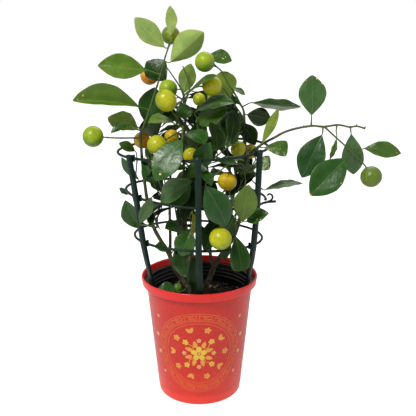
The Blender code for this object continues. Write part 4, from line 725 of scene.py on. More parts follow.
def lay_out():
    """Where everything of the plant goes, each piece kept clear of its neighbours."""
    space = Space()
    for name in RINGS:
        space.add("cage_ring_" + name, *tube_faces(ring_path(name), 8, GAP))
    for name in STAKE_ANGLES:
        space.add("cage_stake_" + name, *stake_block(name, GAP))
        for ring in RINGS:
            reach, height = ring_at(ring, STAKE_ANGLES[name][1])
            a = math.radians(STAKE_ANGLES[name][1])
            lug = [((reach + d) * math.cos(a), (reach + d) * math.sin(a), height, 4.6) for d in (-5.0, 2.0)]
            space.add("cage_stake_" + name, *tube_faces(lug, 8, GAP))
    lip = []
    for k in range(41):
        a = 2 * math.pi * k / 40
        lip.append((80.5 * math.cos(a), 80.5 * math.sin(a), 171.0, 6.0))
    space.add("outer_pot", *tube_faces(lip, 8))
    plan = {"stems": {}, "fruits": {}, "shoots": {}, "dropped": []}

    for name, points in STEMS.items():
        path = resample(smooth_path(points, 8.0), 1.0)
        if not name.startswith("trunk"):
            path = trimmed(path, space, name)
        path = thin_out(path, STEM_STEP)
        hit = space.hits(*tube_faces(path, 8, GAP))
        if hit:
            plan["dropped"].append((name, "stem meets", tuple(hit)))
        plan["stems"][name] = path
        space.add(name, *tube_faces(path, 8, GAP))

    for name, (centre, radius, squash, origin) in FRUITS.items():
        space.add(name, *ball_faces(centre, radius, squash, GAP))
        plan["fruits"][name] = (centre, radius, squash, origin)

    everything = {}
    for name, shoot in SHOOTS.items():
        everything[name] = (shoot["twigs"], shoot["leaves"], 0)
    for name, (twigs, count) in FILLERS.items():
        everything[name] = (twigs, [], count)
    for name, (twigs, leaves, count) in everything.items():
        paths = []
        for i, twig in enumerate(twigs):
            path = resample(smooth_path(twig, 6.0), 1.0)
            if i == 0:
                path = trimmed(path, space, name)
            else:
                path[0] = tuple(root_on(paths, vec(path[0]))) + (path[0][3],)
            path = trimmed(path, space, name, from_end=True)
            path = thin_out(path, TWIG_STEP)
            hit = space.hits(*tube_faces(path, 6, GAP))
            if hit:
                plan["dropped"].append((name, "twig %d meets" % i, tuple(hit)))
            paths.append(path)
        for path in paths:
            space.add(name, *tube_faces(path, 6, GAP))
        plan["shoots"][name] = {"twigs": paths, "leaves": []}

    for name, (twigs, leaves, count) in everything.items():
        paths = plan["shoots"][name]["twigs"]
        mine, own, used = [], Space(), []
        for i, leaf in enumerate(leaves):
            root = root_on(paths, vec(leaf[0]), used)
            used.append(root)
            choice = fallback = None
            for trial in TRIES:
                new = varied(leaf, *trial)
                if space.hits(*leaf_faces(new, root, rows_of(name), GAP), skip=(name,)):
                    continue
                fallback = fallback or new
                if not own.hits(*leaf_faces(new, root, rows_of(name), 0.0, False)):
                    choice = new
                    break
            if choice is None:
                plan["dropped"].append((name, "leaf %d" % i, "touches its own shoot" if fallback else "left out",
                                        tuple(space.hits(*leaf_faces(leaf, root, rows_of(name), GAP), skip=(name,)))))
                choice = fallback
            if choice:
                mine.append((choice, root))
                own.add(name, *leaf_faces(choice, root, rows_of(name), GAP, False))
        for choice, root in mine:
            space.add(name, *leaf_faces(choice, root, rows_of(name)))
        plan["shoots"][name]["leaves"] = mine

    rng = random.Random(20)
    for name, (twigs, leaves, count) in everything.items():
        if not count:
            continue
        paths = [resample(p, 1.0) for p in plan["shoots"][name]["twigs"]]
        total = sum(len(p) for p in paths)
        mine = plan["shoots"][name]["leaves"]
        turn = rng.uniform(0, 360)
        own = Space()
        for i in range(count):
            k = int((i + 0.6) / count * total)
            for path in paths:
                if k < len(path):
                    break
                k -= len(path)
            k = min(max(k, 2), len(path) - 3)
            q = vec(path[k])
            ahead = unit(vec(path[k + 2]) - vec(path[k - 2]))
            placed = False
            for attempt in range(20):
                turn += 137.5 if attempt == 0 else 47.0
                ref = unit(np.cross(ahead, (0.1, 0.2, 1.0)))
                out = turned_about(ref, ahead, turn)
                outward = unit(np.array((q[0], q[1], 0.0)) + 1e-6)
                lean = rng.uniform(0.35, 0.8)
                heading = unit(out + ahead * lean + outward * 0.45)
                length = rng.uniform(44, 66) * (0.96 ** attempt)
                width = length * rng.uniform(0.46, 0.56)
                b = q + heading * rng.uniform(5, 9)
                droop = rng.uniform(-0.25, 0.15)
                tip = b + unit(heading + np.array((0, 0, droop))) * length
                up = unit(np.array((0.0, 0.0, 1.0)) + outward * rng.uniform(0.2, 1.3)
                          + np.array((rng.uniform(-0.4, 0.4), rng.uniform(-0.4, 0.4), 0)))
                leaf = (tuple(b), tuple(tip), width, tuple(up), rng.uniform(6, 18), rng.uniform(1, 5), 0.0)
                if not within_crown(leaf) or hides_fruit(leaf):
                    continue
                reach = math.hypot(tip[0] + 3, tip[1])
                if reach > (95 if tip[2] < 372 else 104) or tip[2] < 182 or tip[2] > 478 or (
                        tip[1] < -84 and tip[2] < 400):
                    continue
                for trial in TRIES[:15]:
                    new = varied(leaf, *trial)
                    if trial[0] or trial[1] or trial[2]:
                        if not within_crown(new) or hides_fruit(new):
                            continue
                    pts, faces = leaf_faces(new, q, rows_of(name), GAP)
                    if space.hits(pts, faces, skip=(name,)):
                        continue
                    if own.hits(*leaf_faces(new, q, rows_of(name), 0.0, False)):
                        continue
                    mine.append((new, q))
                    own.add(name, *leaf_faces(new, q, rows_of(name), GAP, False))
                    space.add(name, *leaf_faces(new, q, rows_of(name)))
                    placed = True
                    break
                if placed:
                    break
            if not placed:
                plan["dropped"].append((name, "filler %d" % i, ()))

    for name, (centre, radius, squash, origin) in plan["fruits"].items():
        c, o = vec(centre), vec(origin)
        away = unit(o - c)
        start = c + away * radius * 0.8
        line = [tuple(start) + (0.9,), tuple(c + away * (radius + 3)) + (0.9,), tuple(o) + (0.9,)]
        path = resample(smooth_path(line, 4.0), 1.0)
        keep = 2
        for k in range(3, len(path) + 1):
            if space.hits(*tube_faces(path[:k], 6, GAP + 0.1), skip=(name,)):
                break
            keep = k
        plan["fruits"][name] = (centre, radius, squash, origin, path[:keep])
        if keep > 2:
            space.add(name, *tube_faces(path[:keep], 6, GAP))
    return plan


plan = lay_out()

# ---------------------------------------------------------------- materials
def new_material(name):
    mat = bpy.data.materials.new(name)
    mat.use_nodes = True
    tree = mat.node_tree
    tree.nodes.clear()
    out = tree.nodes.new("ShaderNodeOutputMaterial")
    shader = tree.nodes.new("ShaderNodeBsdfPrincipled")
    tree.links.new(shader.outputs[0], out.inputs[0])
    return mat, Graph(tree, shader)


class Graph:
    """Short names for the nodes of a material."""

    def __init__(self, tree, shader):
        self.tree, self.shader = tree, shader

    def link(self, value, socket):
        if isinstance(value, bpy.types.NodeSocket):
            self.tree.links.new(value, socket)
        elif isinstance(value, (tuple, list)) and len(value) == 3 and socket.type == "RGBA":
            socket.default_value = (*value, 1.0)
        else:
            socket.default_value = value

    def set(self, name, value):
        self.link(value, self.shader.inputs[name])

    def math(self, op, a, b=0.5, c=0.5, clamp=False):
        n = self.tree.nodes.new("ShaderNodeMath")
        n.operation, n.use_clamp = op, clamp
        for socket, value in zip(n.inputs, (a, b, c)):
            self.link(value, socket)
        return n.outputs[0]

    def vmath(self, op, a, b=(0.0, 0.0, 0.0)):
        n = self.tree.nodes.new("ShaderNodeVectorMath")
        n.operation = op
        self.link(a, n.inputs[0])
        if op == "SCALE":
            self.link(b, n.inputs[3])
        else:
            self.link(b, n.inputs[1])
        return n.outputs[1] if op in ("LENGTH", "DISTANCE", "DOT_PRODUCT") else n.outputs[0]

    def mix(self, fac, a, b, blend="MIX"):
        n = self.tree.nodes.new("ShaderNodeMix")
        n.data_type, n.blend_type = "RGBA", blend
        self.link(fac, n.inputs[0])
        self.link(a, n.inputs[6])
        self.link(b, n.inputs[7])
        return n.outputs[2]

    def mixf(self, fac, a, b):
        n = self.tree.nodes.new("ShaderNodeMix")
        n.data_type = "FLOAT"
        self.link(fac, n.inputs[0])
        self.link(a, n.inputs[2])
        self.link(b, n.inputs[3])
        return n.outputs[0]

    def ramp(self, fac, lo, hi, out_lo=0.0, out_hi=1.0, smooth=True):
        n = self.tree.nodes.new("ShaderNodeMapRange")
        n.interpolation_type = "SMOOTHSTEP" if smooth else "LINEAR"
        n.clamp = True
        for socket, value in zip(n.inputs, (fac, lo, hi, out_lo, out_hi)):
            self.link(value, socket)
        return n.outputs[0]

    def coord(self, kind="Object"):
        return self.tree.nodes.new("ShaderNodeTexCoord").outputs[kind]

    def uv(self, name):
        n = self.tree.nodes.new("ShaderNodeUVMap")
        n.uv_map = name
        return n.outputs[0]

    def attribute(self, name, output="Color"):
        n = self.tree.nodes.new("ShaderNodeAttribute")
        n.attribute_name = name
        return n.outputs[output]

    def split(self, vector):
        n = self.tree.nodes.new("ShaderNodeSeparateXYZ")
        self.link(vector, n.inputs[0])
        return n.outputs[0], n.outputs[1], n.outputs[2]

    def join(self, x, y, z):
        n = self.tree.nodes.new("ShaderNodeCombineXYZ")
        for socket, value in zip(n.inputs, (x, y, z)):
            self.link(value, socket)
        return n.outputs[0]

    def scaled(self, vector, scale, offset=(0.0, 0.0, 0.0)):
        n = self.tree.nodes.new("ShaderNodeMapping")
        self.link(vector, n.inputs[0])
        n.inputs[1].default_value = offset
        n.inputs[3].default_value = scale if isinstance(scale, tuple) else (scale, scale, scale)
        return n.outputs[0]

    def noise(self, vector, scale, detail=3.0, rough=0.55, distortion=0.0):
        n = self.tree.nodes.new("ShaderNodeTexNoise")
        self.link(vector, n.inputs["Vector"])
        n.inputs["Scale"].default_value = scale
        n.inputs["Detail"].default_value = detail
        n.inputs["Roughness"].default_value = rough
        n.inputs["Distortion"].default_value = distortion
        return n.outputs[0]

    def cells(self, vector, scale, feature="F1", output="Distance", randomness=1.0):
        n = self.tree.nodes.new("ShaderNodeTexVoronoi")
        n.feature = feature
        self.link(vector, n.inputs["Vector"])
        n.inputs["Scale"].default_value = scale
        n.inputs["Randomness"].default_value = randomness
        return n.outputs[output]

    def bump(self, height, strength, distance, normal=None):
        n = self.tree.nodes.new("ShaderNodeBump")
        n.inputs["Strength"].default_value = strength
        n.inputs["Distance"].default_value = distance
        self.link(height, n.inputs["Height"])
        if normal is not None:
            self.link(normal, n.inputs["Normal"])
        return n.outputs[0]


def add_object(name, mesh, mats, replaces=(), smooth=True):
    obj = bpy.data.objects.new(name, mesh)
    scene.collection.objects.link(obj)
    for mat in mats:
        mesh.materials.append(mat)
    if smooth:
        mesh.shade_smooth()
    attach(obj, "root")
    if replaces:
        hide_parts(*replaces)
    return obj


class Sheet:
    """Collects quads and triangles in millimetres, with a UV, a tint and a material number each."""

    def __init__(self):
        self.points, self.faces, self.uvs, self.tints, self.mats = [], [], [], [], []
        self.flat = set()

    def point(self, p, uv=(0.0, 0.0), tint=(1.0, 1.0, 1.0, 0.0)):
        self.points.append((p[0] * MM, p[1] * MM, p[2] * MM))
        self.uvs.append(uv)
        self.tints.append(tint)
        return len(self.points) - 1

    def face(self, corners, mat=0):
        self.faces.append(tuple(corners))
        self.mats.append(mat)

    def grid(self, rows, mat=0, wrap=False):
        """Faces over rows of point numbers, all rows of one length."""
        for a, b in zip(rows, rows[1:]):
            n = len(a)
            for k in range(n if wrap else n - 1):
                j = (k + 1) % n
                self.face((a[k], a[j], b[j], b[k]), mat)

    def mesh(self, name, uv_name="PieceUV"):
        mesh = bpy.data.meshes.new(name)
        mesh.from_pydata(self.points, [], self.faces)
        mesh.polygons.foreach_set("material_index", self.mats)
        layer = mesh.uv_layers.new(name=uv_name)
        loops = np.empty(len(mesh.loops), dtype=np.int32)
        mesh.loops.foreach_get("vertex_index", loops)
        uvs = np.array(self.uvs, dtype=np.float32)[loops]
        layer.data.foreach_set("uv", uvs.ravel())
        tint = mesh.color_attributes.new("tint", "FLOAT_COLOR", "POINT")
        tint.data.foreach_set("color", np.array(self.tints, dtype=np.float32).ravel())
        mesh.validate()
        mesh.update()
        return mesh


def path_frames(points):
    """Tangent, and two directions across, along a path, without sudden turns."""
    pts = np.array([vec(p) for p in points])
    tangents = np.gradient(pts, axis=0)
    tangents = np.array([unit(t) for t in tangents])
    ref = np.array((0.0, 0.0, 1.0)) if abs(tangents[0][2]) < 0.9 else np.array((1.0, 0.0, 0.0))
    u = unit(np.cross(tangents[0], ref))
    out = []
    for t in tangents:
        u = unit(u - t * u.dot(t))
        out.append((t, u, np.cross(t, u)))
    return pts, out


def add_tube(sheet, path, sides, tint_at, mat=0, bumps=None, cap_start=True, cap_end=True, wrap_seam=True):
    """A closed round bar along (x, y, z, radius). tint_at(share, i, k) gives a tint.
    bumps(i, k, arc) gives an extra to the radius in millimetres."""
    pts, frames = path_frames(path)
    run = np.concatenate([[0.0], np.cumsum(np.linalg.norm(np.diff(pts, axis=0), axis=1))])
    rows = []
    n = len(pts)
    for i in range(n):
        t, u, w = frames[i]
        row = []
        for k in range(sides + 1):
            a = 2 * math.pi * (k % sides) / sides
            r = path[i][3] + (bumps(i, k % sides, run[i]) if bumps else 0.0)
            p = pts[i] + r * (math.cos(a) * u + math.sin(a) * w)
            row.append(sheet.point(p, (k / sides, run[i] / 100.0), tint_at(i / (n - 1), i, k)))
        rows.append(row)
    # the seam's two lines of points are kept apart for the UV, and joined by the weld at the end
    for a, b in zip(rows, rows[1:]):
        for k in range(sides):
            sheet.face((a[k], a[k + 1], b[k + 1], b[k]), mat)
    for row, flip, cap, i in ((rows[0], True, cap_start, 0), (rows[-1], False, cap_end, n - 1)):
        if not cap:
            continue
        t = frames[i][0] * (-1 if flip else 1)
        c = sheet.point(pts[i] + t * path[i][3] * 0.45, (0.5, run[i] / 100.0), tint_at(i / (n - 1), i, 0))
        for k in range(sides):
            pair = (row[k + 1], row[k], c) if flip else (row[k], row[k + 1], c)
            sheet.face(pair, mat)
    return rows


def joined_mesh(sheet, name, uv_name="PieceUV"):
    """The sheet's mesh with the seams of its tubes joined."""
    mesh = sheet.mesh(name, uv_name)
    bm = bmesh.new()
    bm.from_mesh(mesh)
    bmesh.ops.remove_doubles(bm, verts=bm.verts, dist=0.000004)
    bm.to_mesh(mesh)
    bm.free()
    return mesh


def fbm(x, y, z, scale, octaves=3):
    return noise.fractal(Vector((x * scale, y * scale, z * scale)), 1.0, 2.0, octaves)


def lathe(sheet, profile, segments, tint=(1.0, 1.0, 1.0, 0.0), mat=0, u_repeat=1.0):
    """A turned skin. The profile runs so that its outer side is on the left going down."""
    run = [0.0]
    for a, b in zip(profile, profile[1:]):
        run.append(run[-1] + math.hypot(b[0] - a[0], b[1] - a[1]))
    rows = []
    for (r, z), s in zip(profile, run):
        row = []
        for k in range(segments + 1):
            a = 2 * math.pi * (k % segments) / segments
            row.append(sheet.point((r * math.cos(a), r * math.sin(a), z), (u_repeat * k / segments, s / 100.0), tint))
        rows.append(row)
    for (a, pa), (b, pb) in zip(zip(rows, profile), zip(rows[1:], profile[1:])):
        for k in range(segments):
            if pa[0] < 1e-6:
                sheet.face((a[k], b[k], b[k + 1]), mat)
            elif pb[0] < 1e-6:
                sheet.face((a[k], b[k], a[k + 1]), mat)
            else:
                sheet.face((a[k], b[k], b[k + 1], a[k + 1]), mat)
    return rows


def rounded(profile, radius, steps=4):
    """The profile's corners rounded."""
    out = [profile[0]]
    for a, b, c in zip(profile, profile[1:], profile[2:]):
        a, b, c = np.array(a, float), np.array(b, float), np.array(c, float)
        la, lc = np.linalg.norm(a - b), np.linalg.norm(c - b)
        r = min(radius, la * 0.45, lc * 0.45)
        if r < 0.02:
            out.append(tuple(b))
            continue
        p, q = b + (a - b) / la * r, b + (c - b) / lc * r
        for k in range(steps + 1):
            t = k / steps
            out.append(tuple((1 - t) ** 2 * p + 2 * t * (1 - t) * b + t * t * q))
    out.append(profile[-1])
    return out
# ---------------------------------------------------------------- plant materials
def leaf_material():
    mat, g = new_material("leaf_skin")
    tint = g.attribute("tint")
    under = g.attribute("tint", "Alpha")
    u, v, _ = g.split(g.uv("LeafUV"))
    pos = g.coord("Object")
    bend = g.math("MULTIPLY", g.math("SUBTRACT", g.noise(g.join(g.math("MULTIPLY", v, 2.2), g.math("MULTIPLY", under, 4.0), 0.0), 1.0, 1.0), 0.5), 0.045)
    across = g.math("ABSOLUTE", g.math("SUBTRACT", g.math("ADD", u, bend), 0.5))
    wander = g.math("MULTIPLY", g.math("SUBTRACT", g.noise(g.scaled(g.uv("LeafUV"), (3.0, 5.0, 1.0)), 1.0, 2.0), 0.5), 0.05)
    # side veins leave the midrib at an angle and bend towards the tip
    rise = g.math("MULTIPLY", g.math("POWER", across, 1.25), 1.05)
    line = g.math("ADD", g.math("SUBTRACT", v, rise), wander)
    wave = g.math("ABSOLUTE", g.math("SUBTRACT", g.math("FRACT", g.math("MULTIPLY", line, 8.5)), 0.5))
    side_vein = g.math("MULTIPLY", g.ramp(wave, 0.07, 0.0), g.ramp(across, 0.47, 0.30))
    wave2 = g.math("ABSOLUTE", g.math("SUBTRACT", g.math("FRACT", g.math("MULTIPLY", line, 25.5)), 0.5))
    minor = g.math("MULTIPLY", g.ramp(wave2, 0.12, 0.0), 0.28)
    mid_width = g.math("ADD", 0.005, g.math("MULTIPLY", g.math("SUBTRACT", 1.0, v), 0.016))
    midrib = g.ramp(g.math("SUBTRACT", across, mid_width), 0.012, -0.008)
    veins = g.math("MAXIMUM", midrib, g.math("MULTIPLY", g.math("MAXIMUM", side_vein, minor), 0.34))
    veins = g.math("MULTIPLY", veins, g.mixf(under, 0.42, 0.62))
    broad = g.noise(g.scaled(pos, 62.0), 1.0, 3.0)
    fine = g.noise(g.scaled(pos, 900.0), 1.0, 2.0)
    colour = g.mix(g.ramp(broad, 0.30, 0.72), g.mix(1.0, tint, (0.80, 0.84, 0.86), "MULTIPLY"),
                   g.mix(1.0, tint, (1.16, 1.12, 1.02), "MULTIPLY"))
    colour = g.mix(g.math("MULTIPLY", g.ramp(fine, 0.35, 0.75), 0.16), colour, (0.02, 0.05, 0.01))
    lit = g.mix(1.0, g.mix(0.16, tint, (0.40, 0.47, 0.14)), (1.25, 1.25, 1.1), "MULTIPLY")
    colour = g.mix(veins, colour, lit)
    g.set("Base Color", colour)
    rough = g.mixf(under, g.ramp(broad, 0.3, 0.75, 0.30, 0.42), 0.58)
    # old dark leaves are dull, young ones waxy
    _, greenness, _ = g.split(tint)
    rough = g.math("MAXIMUM", rough, g.ramp(greenness, 0.055, 0.025, 0.0, 0.55))
    g.set("Roughness", rough)
    g.set("Specular IOR Level", g.ramp(greenness, 0.025, 0.070, 0.10, 0.46))
    g.set("Subsurface Weight", 0.06)
    g.set("Subsurface Radius", (0.4, 1.0, 0.2))
    g.set("Subsurface Scale", 0.0012)
    relief = g.math("ADD", g.math("MULTIPLY", g.math("SUBTRACT", 1.0, veins), 0.7), g.math("MULTIPLY", fine, 0.25))
    relief = g.math("ADD", relief, g.math("MULTIPLY", broad, 1.4))
    swell = g.noise(g.join(g.math("MULTIPLY", u, 3.2), g.math("MULTIPLY", v, 5.0), g.math("MULTIPLY", broad, 2.0)), 1.0, 1.0)
    relief = g.math("ADD", g.math("MULTIPLY", relief, 0.45), g.math("MULTIPLY", swell, 2.2))
    g.set("Normal", g.bump(relief, 0.50, 0.0011))
    return mat


def twig_material():
    mat, g = new_material("twig_skin")
    tint = g.attribute("tint")
    pos = g.coord("Object")
    streak = g.noise(g.scaled(g.uv("LeafUV"), (9.0, 26.0, 1.0)), 1.0, 3.0)
    fine = g.noise(g.scaled(pos, 1500.0), 1.0, 2.0)
    colour = g.mix(g.ramp(streak, 0.35, 0.7), g.mix(1.0, tint, (0.72, 0.74, 0.70), "MULTIPLY"), g.mix(1.0, tint, (1.2, 1.18, 1.1), "MULTIPLY"))
    g.set("Base Color", colour)
    g.set("Roughness", g.ramp(fine, 0.3, 0.7, 0.42, 0.62))
    g.set("Specular IOR Level", 0.35)
    g.set("Normal", g.bump(g.math("ADD", streak, fine), 0.35, 0.0003))
    return mat


def fleck_material():
    mat, g = new_material("dry_leaf_edge")
    tint = g.attribute("tint")
    fine = g.noise(g.scaled(g.coord("Object"), 1800.0), 1.0, 3.0)
    g.set("Base Color", g.mix(g.ramp(fine, 0.35, 0.7), g.mix(1.0, tint, (0.66, 0.55, 0.42), "MULTIPLY"), tint))
    g.set("Roughness", 0.75)
    g.set("Normal", g.bump(fine, 0.4, 0.0003))
    return mat


def bark_material():
    mat, g = new_material("bark_skin")
    tint = g.attribute("tint")
    age = g.attribute("tint", "Alpha")
    pos = g.coord("Object")
    cracks = g.noise(g.scaled(g.uv("PieceUV"), (7.0, 22.0, 1.0)), 1.0, 5.0, 0.62, 0.4)
    lenticel = g.cells(g.scaled(g.uv("PieceUV"), (10.0, 38.0, 1.0)), 1.0)
    fine = g.noise(g.scaled(pos, 1300.0), 1.0, 4.0, 0.65)
    dark = g.mix(1.0, tint, (0.45, 0.44, 0.42), "MULTIPLY")
    light = g.mix(1.0, tint, (1.5, 1.45, 1.32), "MULTIPLY")
    colour = g.mix(g.ramp(cracks, 0.36, 0.66), dark, light)
    colour = g.mix(g.math("MULTIPLY", g.ramp(lenticel, 0.22, 0.08), g.math("MULTIPLY", age, 0.55)), colour, (0.30, 0.26, 0.19))
    colour = g.mix(g.math("MULTIPLY", g.ramp(fine, 0.45, 0.75), 0.25), colour, dark)
    g.set("Base Color", colour)
    g.set("Roughness", g.mixf(age, 0.5, 0.86))
    g.set("Specular IOR Level", 0.3)
    relief = g.math("ADD", g.math("MULTIPLY", cracks, g.mixf(age, 0.3, 1.2)), g.math("MULTIPLY", fine, 0.5))
    g.set("Normal", g.bump(relief, 0.6, 0.0006))
    return mat


def fruit_material():
    mat, g = new_material("fruit_rind")
    tint = g.attribute("tint")
    pos = g.coord("Object")
    pores = g.cells(g.scaled(pos, 640.0), 1.0, randomness=0.85)
    pit = g.ramp(pores, 0.34, 0.12)
    blotch = g.noise(g.scaled(pos, 150.0), 1.0, 4.0, 0.6)
    colour = g.mix(g.ramp(blotch, 0.35, 0.68), g.mix(1.0, tint, (0.84, 0.90, 0.80), "MULTIPLY"), g.mix(1.0, tint, (1.10, 1.06, 1.05), "MULTIPLY"))
    colour = g.mix(g.math("MULTIPLY", pit, 0.30), colour, g.mix(1.0, tint, (0.52, 0.66, 0.45), "MULTIPLY"))
    g.set("Base Color", colour)
    g.set("Roughness", g.ramp(blotch, 0.3, 0.7, 0.30, 0.40))
    g.set("Specular IOR Level", 0.45)
    g.set("Subsurface Weight", 0.10)
    g.set("Subsurface Radius", (1.0, 0.8, 0.15))
    g.set("Subsurface Scale", 0.003)
    g.set("Normal", g.bump(g.math("ADD", g.math("SUBTRACT", 1.0, pit), g.math("MULTIPLY", blotch, 0.5)), 0.45, 0.00045))
    return mat


LEAF_SKIN, TWIG_SKIN, DRY_EDGE = leaf_material(), twig_material(), fleck_material()
BARK_SKIN, RIND = bark_material(), fruit_material()

# ---------------------------------------------------------------- leaves
# looks of a leaf: colour of its upper side, colour of its under side
# pale and lime are partly the leaves' own young colour and partly painted light: the glow of light shining through the
# top leaves
TONES = {
    "pale": ((0.22, 0.34, 0.065), (0.30, 0.42, 0.10)),
    "lime": ((0.28, 0.41, 0.05), (0.32, 0.44, 0.08)),
    "bright": ((0.16, 0.26, 0.016), (0.23, 0.33, 0.035)),
    "fresh": ((0.092, 0.175, 0.008), (0.15, 0.235, 0.026)),
    "mid": ((0.040, 0.108, 0.006), (0.085, 0.160, 0.018)),
    "deep": ((0.016, 0.078, 0.004), (0.050, 0.118, 0.014)),
    "dark": ((0.010, 0.042, 0.0025), (0.032, 0.080, 0.008)),
    "shade": ((0.0045, 0.016, 0.0015), (0.012, 0.032, 0.004)),
    "grey": ((0.050, 0.120, 0.030), (0.085, 0.155, 0.045)),
    "blue": ((0.014, 0.066, 0.010), (0.046, 0.110, 0.026)),
    "yellow": ((0.30, 0.34, 0.012), (0.33, 0.37, 0.03)),
}
TAN, STRAW, UMBER = (0.46, 0.28, 0.08), (0.95, 0.82, 0.36), (0.10, 0.05, 0.02)

# shoot: for each leaf (tone of the upper side, tone of the under side or None, share of brown tip,
# flecks as (u, v, size mm, colour), other shape values)
LOOKS = {
    "shoot_top_left": [
        # the top leaves in lime and pale: partly painted light shining through them
        ("lime", "pale", 0.0, (), {"wave": 0.6}),
        ("pale", "pale", 0.0, (), {}),
        ("lime", "pale", 0.0, (), {"arch": 0.12}),
        ("fresh", None, 0.0, (), {"arch": 0.05}),
        ("fresh", None, 0.0, ((0.5, 0.86, 1.3, STRAW), (0.2, 0.93, 1.0, STRAW), (-0.4, 0.90, 0.9, TAN)), {"arch": 0.04}),
        ("dark", "deep", 0.0, (), {}),
        ("deep", "deep", 0.0, (), {}),
        ("fresh", "fresh", 0.10, (), {"wave": 1.0}),
        ("deep", "mid", 0.0, (), {}),
    ],
    "shoot_centre_top": [
        ("mid", None, 0.0, (), {"arch": -0.06}),
        ("bright", "fresh", 0.0, (), {}),
    ],
    "shoot_top_right": [
        ("mid", None, 0.0, (), {}),
        ("mid", None, 0.0, ((0.1, 0.62, 1.5, STRAW), (-0.2, 0.70, 0.9, STRAW)), {}),
        ("dark", "deep", 0.0, (), {"wave": 1.1}),
        ("shade", "dark", 0.0, (), {"arch": -0.05}),
        ("dark", None, 0.0, (), {}),
        ("shade", None, 0.0, (), {"arch": -0.05}),
        ("mid", None, 0.0, (), {}),
    ],
    "shoot_arm_foot": [
        ("bright", "bright", 0.0, (), {}),
        ("mid", "mid", 0.0, (), {}),
        ("fresh", "fresh", 0.0, ((0.8, 0.9, 1.0, STRAW),), {}),
    ],
    "shoot_arm_side": [
        ("deep", None, 0.0, ((-0.1, 0.99, 1.8, STRAW), (0.25, 0.985, 1.3, STRAW), (-0.9, 0.45, 0.9, STRAW), (0.4, 0.95, 0.8, TAN)), {"arch": -0.06}),
        ("mid", None, 0.0, ((0.2, 0.88, 0.8, STRAW), (0.96, 0.5, 0.8, STRAW)), {"arch": -0.04}),
    ],
    "leaf_arm_upright": [("grey", None, 0.0, ((0.75, 0.90, 1.3, STRAW), (0.92, 0.78, 1.0, STRAW), (-0.35, 0.985, 1.0, STRAW), (-0.8, 0.86, 0.8, STRAW)), {"arch": -0.05})],
    "leaf_arm_left": [("blue", None, 0.0, ((-0.90, 0.70, 1.7, STRAW), (-0.85, 0.92, 0.9, TAN)), {"arch": -0.05})],
    "leaf_arm_narrow": [("fresh", "fresh", 0.0, (), {})],
    "leaf_arm_hanging": [("grey", None, 0.0, ((-0.97, 0.68, 1.0, STRAW), (0.98, 0.66, 0.9, STRAW), (0.1, 0.99, 0.9, TAN), (0.98, 0.85, 0.9, STRAW)), {})],
    "shoot_front_left": [
        ("deep", None, 0.0, ((-0.15, 0.84, 1.6, STRAW), (0.97, 0.55, 1.2, STRAW), (0.97, 0.70, 0.8, STRAW)), {"arch": -0.07}),
        ("dark", None, 0.0, (), {}),
        ("deep", None, 0.0, (), {}),
        ("fresh", None, 0.0, (), {}),
    ],
    "shoot_front_centre": [
        ("grey", "grey", 0.0, (), {"arch": 0.10}),
        ("deep", None, 0.0, (), {}),
        ("dark", None, 0.0, (), {}),
    ],
    "shoot_left_low": [
        ("grey", None, 0.0, (), {}),
        ("deep", None, 0.0, (), {}),
        ("blue", None, 0.0, (), {}),
    ],
    "shoot_left_mid": [
        ("grey", None, 0.0, (), {}),
        ("mid", None, 0.0, (), {}),
        ("deep", None, 0.0, (), {}),
    ],
    "shoot_front_right": [
        ("blue", None, 0.0, (), {"arch": -0.08}),
        ("fresh", None, 0.0, ((0.2, 0.97, 1.0, TAN),), {"arch": -0.06}),
        ("deep", None, 0.0, ((0.5, 0.55, 1.1, STRAW), (0.8, 0.7, 1.0, STRAW), (-0.3, 0.8, 0.8, STRAW)), {}),
        ("grey", None, 0.0, (), {"arch": 0.06}),
        ("dark", None, 0.0, (), {"arch": -0.06}),
    ],
    "shoot_front_low": [
        ("deep", None, 0.0, (), {}),
        ("yellow", "yellow", 0.12, (), {}),
        ("dark", None, 0.0, (), {}),
        ("deep", None, 0.0, (), {}),
    ],
    "shoot_low_left": [("mid", None, 0.0, (), {}), ("deep", None, 0.0, (), {})],
    "leaf_over_soil": [("deep", None, 0.0, (), {})],
    "shoot_crown_centre": [
        ("deep", None, 0.0, (), {"arch": -0.06}),
        ("mid", None, 0.0, (), {"wave": 1.0}),
        ("bright", "bright", 0.0, (), {}),
        ("deep", None, 0.0, (), {}),
        ("mid", None, 0.0, (), {}),
        ("dark", None, 0.0, (), {}),
    ],
}
# the inner leaves are mostly darker than their own green: painted shade of the inner crown
FILL_TONES = ["dark", "shade", "dark", "deep", "shade", "mid", "shade", "dark", "deep"]

ACROSS = [-1.0, -0.93, -0.80, -0.63, -0.45, -0.27, -0.12, -0.04, 0.04, 0.12, 0.27, 0.45, 0.63, 0.80, 0.93, 1.0]
LEAF_ROWS = 24


